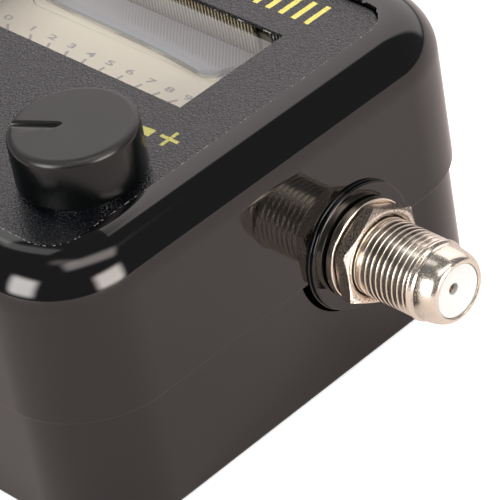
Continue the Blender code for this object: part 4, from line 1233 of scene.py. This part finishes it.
@dataclass
class MeterWindow:
    """What shows through the window: clear cover, ribbed wall, printed scale and light guide."""

    guide_solid: bpy.types.Mesh
    window: tuple[float, float, float] = (18.45, -0.5, 15.6)
    cover_top: float = 34.7
    dial_top: float = 30.3
    guide_top: float = 31.1
    rib_pitch: float = 0.53
    rib_radius: float = 0.21
    plain: tuple[float, float] = (13.7, 15.25)
    pivot: tuple[float, float] = (-0.7, -12.1)
    places: tuple[float, ...] = (-18.4, -14.1, -10.7, -7.4, -4.2, -0.95, 2.35, 5.7, 8.8, 11.75, 15.2)
    number_line: float = 5.75
    number_height: float = 0.85
    tick_top: float = 5.15
    guide: tuple[tuple[float, float], ...] = (
        (-19.9, 11.2), (-17.3, 11.1), (-14.3, 10.93), (-10.9, 10.82), (-7.0, 10.74), (-3.3, 10.7), (0.1, 10.63),
        (3.0, 10.52), (5.5, 10.33), (7.65, 10.1), (9.2, 9.95), (10.0, 9.9), (10.6, 9.96), (11.1, 10.2), (11.5, 10.6),
        (11.8, 11.1), (12.05, 11.7), (12.5, 12.5), (13.2, 13.4), (13.9, 14.4), (13.9, 15.55), (-19.9, 15.55))

    def cover(self) -> None:
        """The clear cover: a pane in the window."""
        reach, low, high = self.window
        pane = prism("pane", (-reach - 0.5, low - 0.5, self.cover_top - 0.8), (reach + 0.5, high + 0.5,
                                                                               self.cover_top))
        publish("window_pane", pane, Finish.PANE, stands_for=("meter_cover",))

    def ribs(self) -> None:
        """The upright ribs of the far wall, repeated along it, in front of their backing."""
        reach, _, high = self.window
        low, top = self.dial_top - 0.3, self.cover_top - 0.85
        left, right = self.plain
        parts = []
        for start, end, depth in ((-reach, left, high + 0.3), (right, reach, high + 0.75)):
            count = int((end - start) / self.rib_pitch)
            pattern = Pattern("ribs", count=count, pitch=self.rib_pitch, radius=self.rib_radius,
                              length=35.05 - low, corner=Vector((start + self.rib_pitch / 2, depth, (low + 35.05) / 2)))
            rod = pattern.node("GeometryNodeMeshCylinder", Vertices=10, Radius=pattern.size("radius"),
                               Depth=pattern.size("length"))
            smooth = pattern.node("GeometryNodeSetShadeSmooth", Geometry=rod)
            row = pattern.node("GeometryNodeMeshLine", Count=pattern.size("count"),
                               Start_Location=pattern.size("corner"), Offset=pattern.vector(x=pattern.size("pitch")))
            parts.append(pattern.grow(pattern.node("GeometryNodeInstanceOnPoints", Points=row, Instance=smooth),
                                      Finish.RIBS))
        backing = prism("backing", (-reach, high + 0.3, low), (left, high + 0.75, 35.05))
        recess = prism("recess", (left, high + 0.75, low), (reach, high + 0.9, 35.05))
        parts += [backing, recess]
        LOG.info("ribs from %.1f to %.1f mm, %.2f mm apart", low, top, self.rib_pitch)
        publish("ribbed_wall", joined("ribbed_wall", *parts), Finish.RIBS)

    def ink(self, shapes: list[bpy.types.Mesh], name: str) -> None:
        """Publishes flat shapes as ink on the dial."""
        publish(name, moved(joined(name, *shapes), Matrix.Translation((0, 0, self.dial_top))), Finish.INK)

    def digit(self, value: int, x: float) -> bpy.types.Mesh:
        """One plain number of the scale.

        Args:
            value: The number.
            x: The place of its middle.

        Returns:
            Its flat mesh.
        """
        text = bpy.data.curves.new("digit", "FONT")
        text.body = str(value)
        text.size = self.number_height / 0.72
        text.align_x = "CENTER"
        text.extrude = 0.01
        text.offset = 0.02
        holder = bpy.data.objects.new("digit", text)
        bpy.context.scene.collection.objects.link(holder)
        squat = Matrix.Diagonal((2.2, 1, 1, 1))
        return moved(evaluated(holder, "digit"), Matrix.Translation((x, self.number_line, 0.012)) @ squat)

    def tick(self, turn: float, low: float, high: float, width: float) -> bpy.types.Mesh:
        """One line of the scale, which points at the needle's pivot.

        Args:
            turn: Its turn from the middle, in degrees to the right.
            low: The place along where it starts.
            high: The place along where it ends.
            width: Its width.

        Returns:
            Its flat mesh.
        """
        x, y = self.pivot
        stretch = 1 / math.cos(math.radians(turn))
        bar = prism("tick", (-width / 2, (low - y) * stretch, 0.002), (width / 2, (high - y) * stretch, 0.022))
        return moved(bar, Matrix.Translation((x, y, 0)) @ Matrix.Rotation(math.radians(-turn), 4, "Z"))

    def scale(self) -> None:
        """The scale: plain numbers, a line under each that points at the pivot, and finer lines between them."""
        rise = self.number_line + self.number_height / 2 - self.pivot[1]
        self.ink([self.digit(value, x) for value, x in enumerate(self.places)], "dial_numbers")
        turns = [math.degrees(math.atan((x - self.pivot[0]) / rise)) for x in self.places]
        marks = [self.tick(turn, 2.4, self.tick_top, 0.36) for turn in turns]
        for first, second in zip(turns, turns[1:]):
            marks += [self.tick(first + (second - first) * step / 5, 3.2, 4.15, 0.1) for step in range(1, 5)]
        self.ink(marks, "dial_scale")

    def light_guide(self) -> None:
        """The light guide along the far wall, whose front edge curves and is rounded over."""
        work = bmesh.new()
        work.from_mesh(self.guide_solid)
        bmesh.ops.remove_doubles(work, verts=work.verts, dist=1e-6)
        bmesh.ops.scale(work, verts=work.verts, vec=(1 / MM, 1 / MM, 1 / MM))
        cut = bmesh.ops.bisect_plane(work, geom=[*work.verts, *work.edges, *work.faces], clear_outer=True,
                                     plane_co=(0, 0, self.dial_top - 0.004), plane_no=(0, 0, 1))
        bmesh.ops.contextual_create(work, geom=[part for part in cut["geom_cut"]
                                                if isinstance(part, bmesh.types.BMEdge)])
        foot = to_mesh(work, "guide_foot")
        work = bmesh.new()
        rings = [[work.verts.new((x, y, height)) for x, y in self.guide] for height in (self.dial_top - 0.1, self.guide_top)]
        count = len(self.guide)
        for index in range(count):
            after = (index + 1) % count
            work.faces.new((rings[0][index], rings[0][after], rings[1][after], rings[1][index]))
        work.faces.new(rings[0][::-1])
        lid = work.faces.new(rings[1])
        front = [edge for edge in lid.edges if min(vertex.co.y for vertex in edge.verts) < 15.0]
        bmesh.ops.bevel(work, geom=front, offset=0.66, segments=8, profile=0.5, affect="EDGES")
        bar = joined("light_guide_bar", foot, to_mesh(work, "guide_rise"))
        publish("light_guide_bar", smoothed(bar, 50), Finish.GUIDE, stands_for=("light_guide",))

    def build(self) -> None:
        """Makes every piece of the window."""
        self.cover()
        self.ribs()
        self.scale()
        self.light_guide()


@dataclass
class Inside:
    """The CAD nodes that stay as they are, each with its finish."""

    nodes: dict[str, bpy.types.Object]
    finishes: dict[Finish, tuple[str, ...]] = field(default_factory=lambda: {
        Finish.STEEL: ("board_screw_1", "board_screw_2", "pot_housing", "pot_shaft", "pot_washer", "pot_nut",
                       "dial_screw_1", "dial_screw_2", "meter_yoke", "magnet_core", "meter_staff", "led_lead_1",
                       "led_lead_2"),
        Finish.BRASS: ("pot_bush", "meter_bridge", "hairspring", "lower_bearing", "meter_terminal_1",
                       "meter_terminal_2"),
        Finish.COPPER: ("pot_wiper", "pot_lead_1", "pot_lead_2", "pot_lead_3"),
        Finish.COIL: ("moving_coil",),
        Finish.CHOKE: ("supply_choke",),
        Finish.BOARD: ("circuit_board",),
        Finish.CAN: ("supply_capacitor_1", "supply_capacitor_2"),
        Finish.DARK: ("amplifier_transistor_1", "amplifier_transistor_2", "detector_diode", "pot_track", "meter_base",
                      "meter_needle"),
        Finish.DIAL: ("dial_plate",),
        Finish.LAMP: ("backlight_led",),
    })

    def build(self) -> None:
        """Gives each node its material."""
        for finish, names in self.finishes.items():
            for name in names:
                for place in self.nodes[name].material_slots:
                    place.material = finish.material()
                LOG.info("%s: %s", name, finish.name)


@dataclass(frozen=True)
class Softbox:
    """A rectangular light with faded edges, placed by the direction that it is seen in from the meter."""

    name: str
    azimuth: float
    elevation: float
    distance: float
    width: float
    height: float
    radiance: float
    roll: float = 0.0
    fade: float = 0.32
    low_share: float = 1.0
    faces: float | None = None
    colour: tuple[float, float, float] = (1.0, 0.985, 0.965)

    def soften(self, light: bpy.types.Light) -> None:
        """Fades the light towards its edges, and dims it towards its foot.

        Args:
            light: The light.
        """
        light.use_nodes = True
        tree = light.node_tree
        place = tree.nodes.new("ShaderNodeNewGeometry")
        parts = tree.nodes.new("ShaderNodeSeparateXYZ")
        tree.links.new(place.outputs["Parametric"], parts.inputs[0])
        across, along = (Reading(tree, parts.outputs[axis]) for axis in "XY")
        shine = along * (1 - self.low_share) + self.low_share
        for part, length in ((across, self.width), (along, self.height)):
            shine = shine * (0.5 - abs(part - 0.5)).ramp(0.0, self.fade / length)
        feed(tree, tree.nodes["Emission"].inputs["Strength"], shine)

    def hang(self) -> None:
        """Puts the light in the scene."""
        light = bpy.data.lights.new(self.name, "AREA")
        light.shape = "RECTANGLE"
        light.size = self.width
        light.size_y = self.height
        light.energy = self.radiance * math.pi * self.width * self.height
        light.color = self.colour
        self.soften(light)
        lamp = bpy.data.objects.new(self.name, light)
        turn, rise = math.radians(self.azimuth), math.radians(self.elevation)
        spot = self.distance * Vector((math.cos(rise) * math.cos(turn), math.cos(rise) * math.sin(turn),
                                       math.sin(rise)))
        upright = math.radians(self.faces or 0.0)
        aim = spot if self.faces is None else Vector((math.cos(upright), math.sin(upright), 0))
        facing = (-aim).to_track_quat("-Z", "Y").to_matrix().to_4x4()
        lamp.matrix_world = Matrix.Translation(spot) @ facing @ Matrix.Rotation(math.radians(self.roll), 4, "Z")
        lamp.visible_camera = False
        bpy.context.scene.collection.objects.link(lamp)


@dataclass
class Studio:
    """The pale floor, the soft lights and the camera."""

    lens: float = 251.67
    spot: tuple[float, float, float] = (0.26469, -0.19457, 0.24665)
    right: tuple[float, float, float] = (0.70435536, 0.69434878, -0.14752385)
    up: tuple[float, float, float] = (-0.33782538, 0.51067289, 0.79062457)
    back: tuple[float, float, float] = (0.62430564, -0.50704336, 0.59426383)
    dim: float = 0.2
    ground: tuple[float, float, float] = (0.8, 0.73, 0.71)
    floor_gap: float = 0.2
    lights: tuple[Softbox, ...] = (
        Softbox("front_softbox", -93.6, 21.9, 1.5, 1.04, 1.14, 13.3, 1, low_share=0.88, colour=(1, 0.956, 0.935)),
        Softbox("side_softbox", 2.4, 16.2, 1.5, 1.1, 1.06, 12.1, -3, low_share=1.1, colour=(1, 0.92, 0.855)),
        Softbox("top_softbox", 3.0, 61.5, 1.6, 1.65, 0.72, 4.1, -24, 0.3, colour=(1, 0.91, 0.875)),
        Softbox("high_softbox", -50, 74, 1.6, 0.85, 0.5, 1.7, -15, 0.28, colour=(1, 0.91, 0.875)),
        Softbox("left_reflector", 182, 58, 1.6, 0.42, 1.35, 1.3, fade=0.12),
        Softbox("low_reflector", 166, 44, 2.0, 0.9, 0.55, 1.6, fade=0.12),
        Softbox("back_wall", 130.3, 34.9, 4.02, 5.3, 4.6, 2.2, low_share=0.6, faces=87, colour=(1, 0.9, 0.9)),
    )

    def floor(self) -> None:
        """A plain pale floor, which isn't part of the meter. It is clear from below, so that the back can be seen."""
        work = bmesh.new()
        bmesh.ops.create_grid(work, x_segments=1, y_segments=1, size=3.0)
        bmesh.ops.translate(work, verts=work.verts, vec=(0, 0, -self.floor_gap * MM))
        sheet = bpy.data.meshes.new("floor")
        work.to_mesh(sheet)
        work.free()
        ground = bpy.data.objects.new("floor", sheet)
        coat = Coating("floor_finish")
        seen = coat.read(coat.node("ShaderNodeLightPath"), "Is Camera Ray")
        lift = coat.blend(seen, (0.07, 0.066, 0.065), (0.58, 0.65, 0.66))
        above = 1 - coat.read(coat.node("ShaderNodeNewGeometry"), "Backfacing")
        ground.data.materials.append(coat.shade(Base_Color=self.ground, Roughness=0.9, Emission_Color=lift,
                                                Emission_Strength=1.0, Alpha=above))
        bpy.context.scene.collection.objects.link(ground)

    def room(self) -> None:
        """A dim room, which looks pale where the camera sees past the floor."""
        world = bpy.data.worlds.new("room")
        world.use_nodes = True
        tree = world.node_tree
        glow = tree.nodes["Background"]
        glow.inputs["Color"].default_value = (self.dim, self.dim, self.dim * 1.04, 1)
        pale = tree.nodes.new("ShaderNodeBackground")
        pale.inputs["Color"].default_value = (1, 1, 1, 1)
        seen = tree.nodes.new("ShaderNodeLightPath")
        mix = tree.nodes.new("ShaderNodeMixShader")
        tree.links.new(seen.outputs["Is Camera Ray"], mix.inputs[0])
        tree.links.new(glow.outputs[0], mix.inputs[1])
        tree.links.new(pale.outputs[0], mix.inputs[2])
        tree.links.new(mix.outputs[0], tree.nodes["World Output"].inputs["Surface"])
        bpy.context.scene.world = world

    def camera(self) -> None:
        """The camera at the photograph's place, angle and lens."""
        data = bpy.data.cameras.new("camera")
        data.lens = self.lens
        data.clip_start = 0.01
        data.clip_end = 20
        camera = bpy.data.objects.new("camera", data)
        turn = Matrix((self.right, self.up, self.back)).transposed().to_4x4()
        camera.matrix_world = Matrix.Translation(self.spot) @ turn
        bpy.context.scene.collection.objects.link(camera)
        bpy.context.scene.camera = camera

    def build(self) -> None:
        """Sets up the whole studio."""
        self.camera()
        self.floor()
        self.room()
        for light in self.lights:
            light.hang()
        bpy.context.scene.view_settings.view_transform = "Standard"


def main() -> None:
    """Builds the meter's looks in order."""
    logging.basicConfig(level=logging.INFO, format="%(message)s")
    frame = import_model()
    Studio().build()
    Housing().build()
    for side in Side:
        CoaxialSocket(side).build()
    GainKnob().build()
    MeterWindow(frame["nodes"]["light_guide"].data).build()
    Inside(frame["nodes"]).build()


if __name__ == "__main__":
    main()
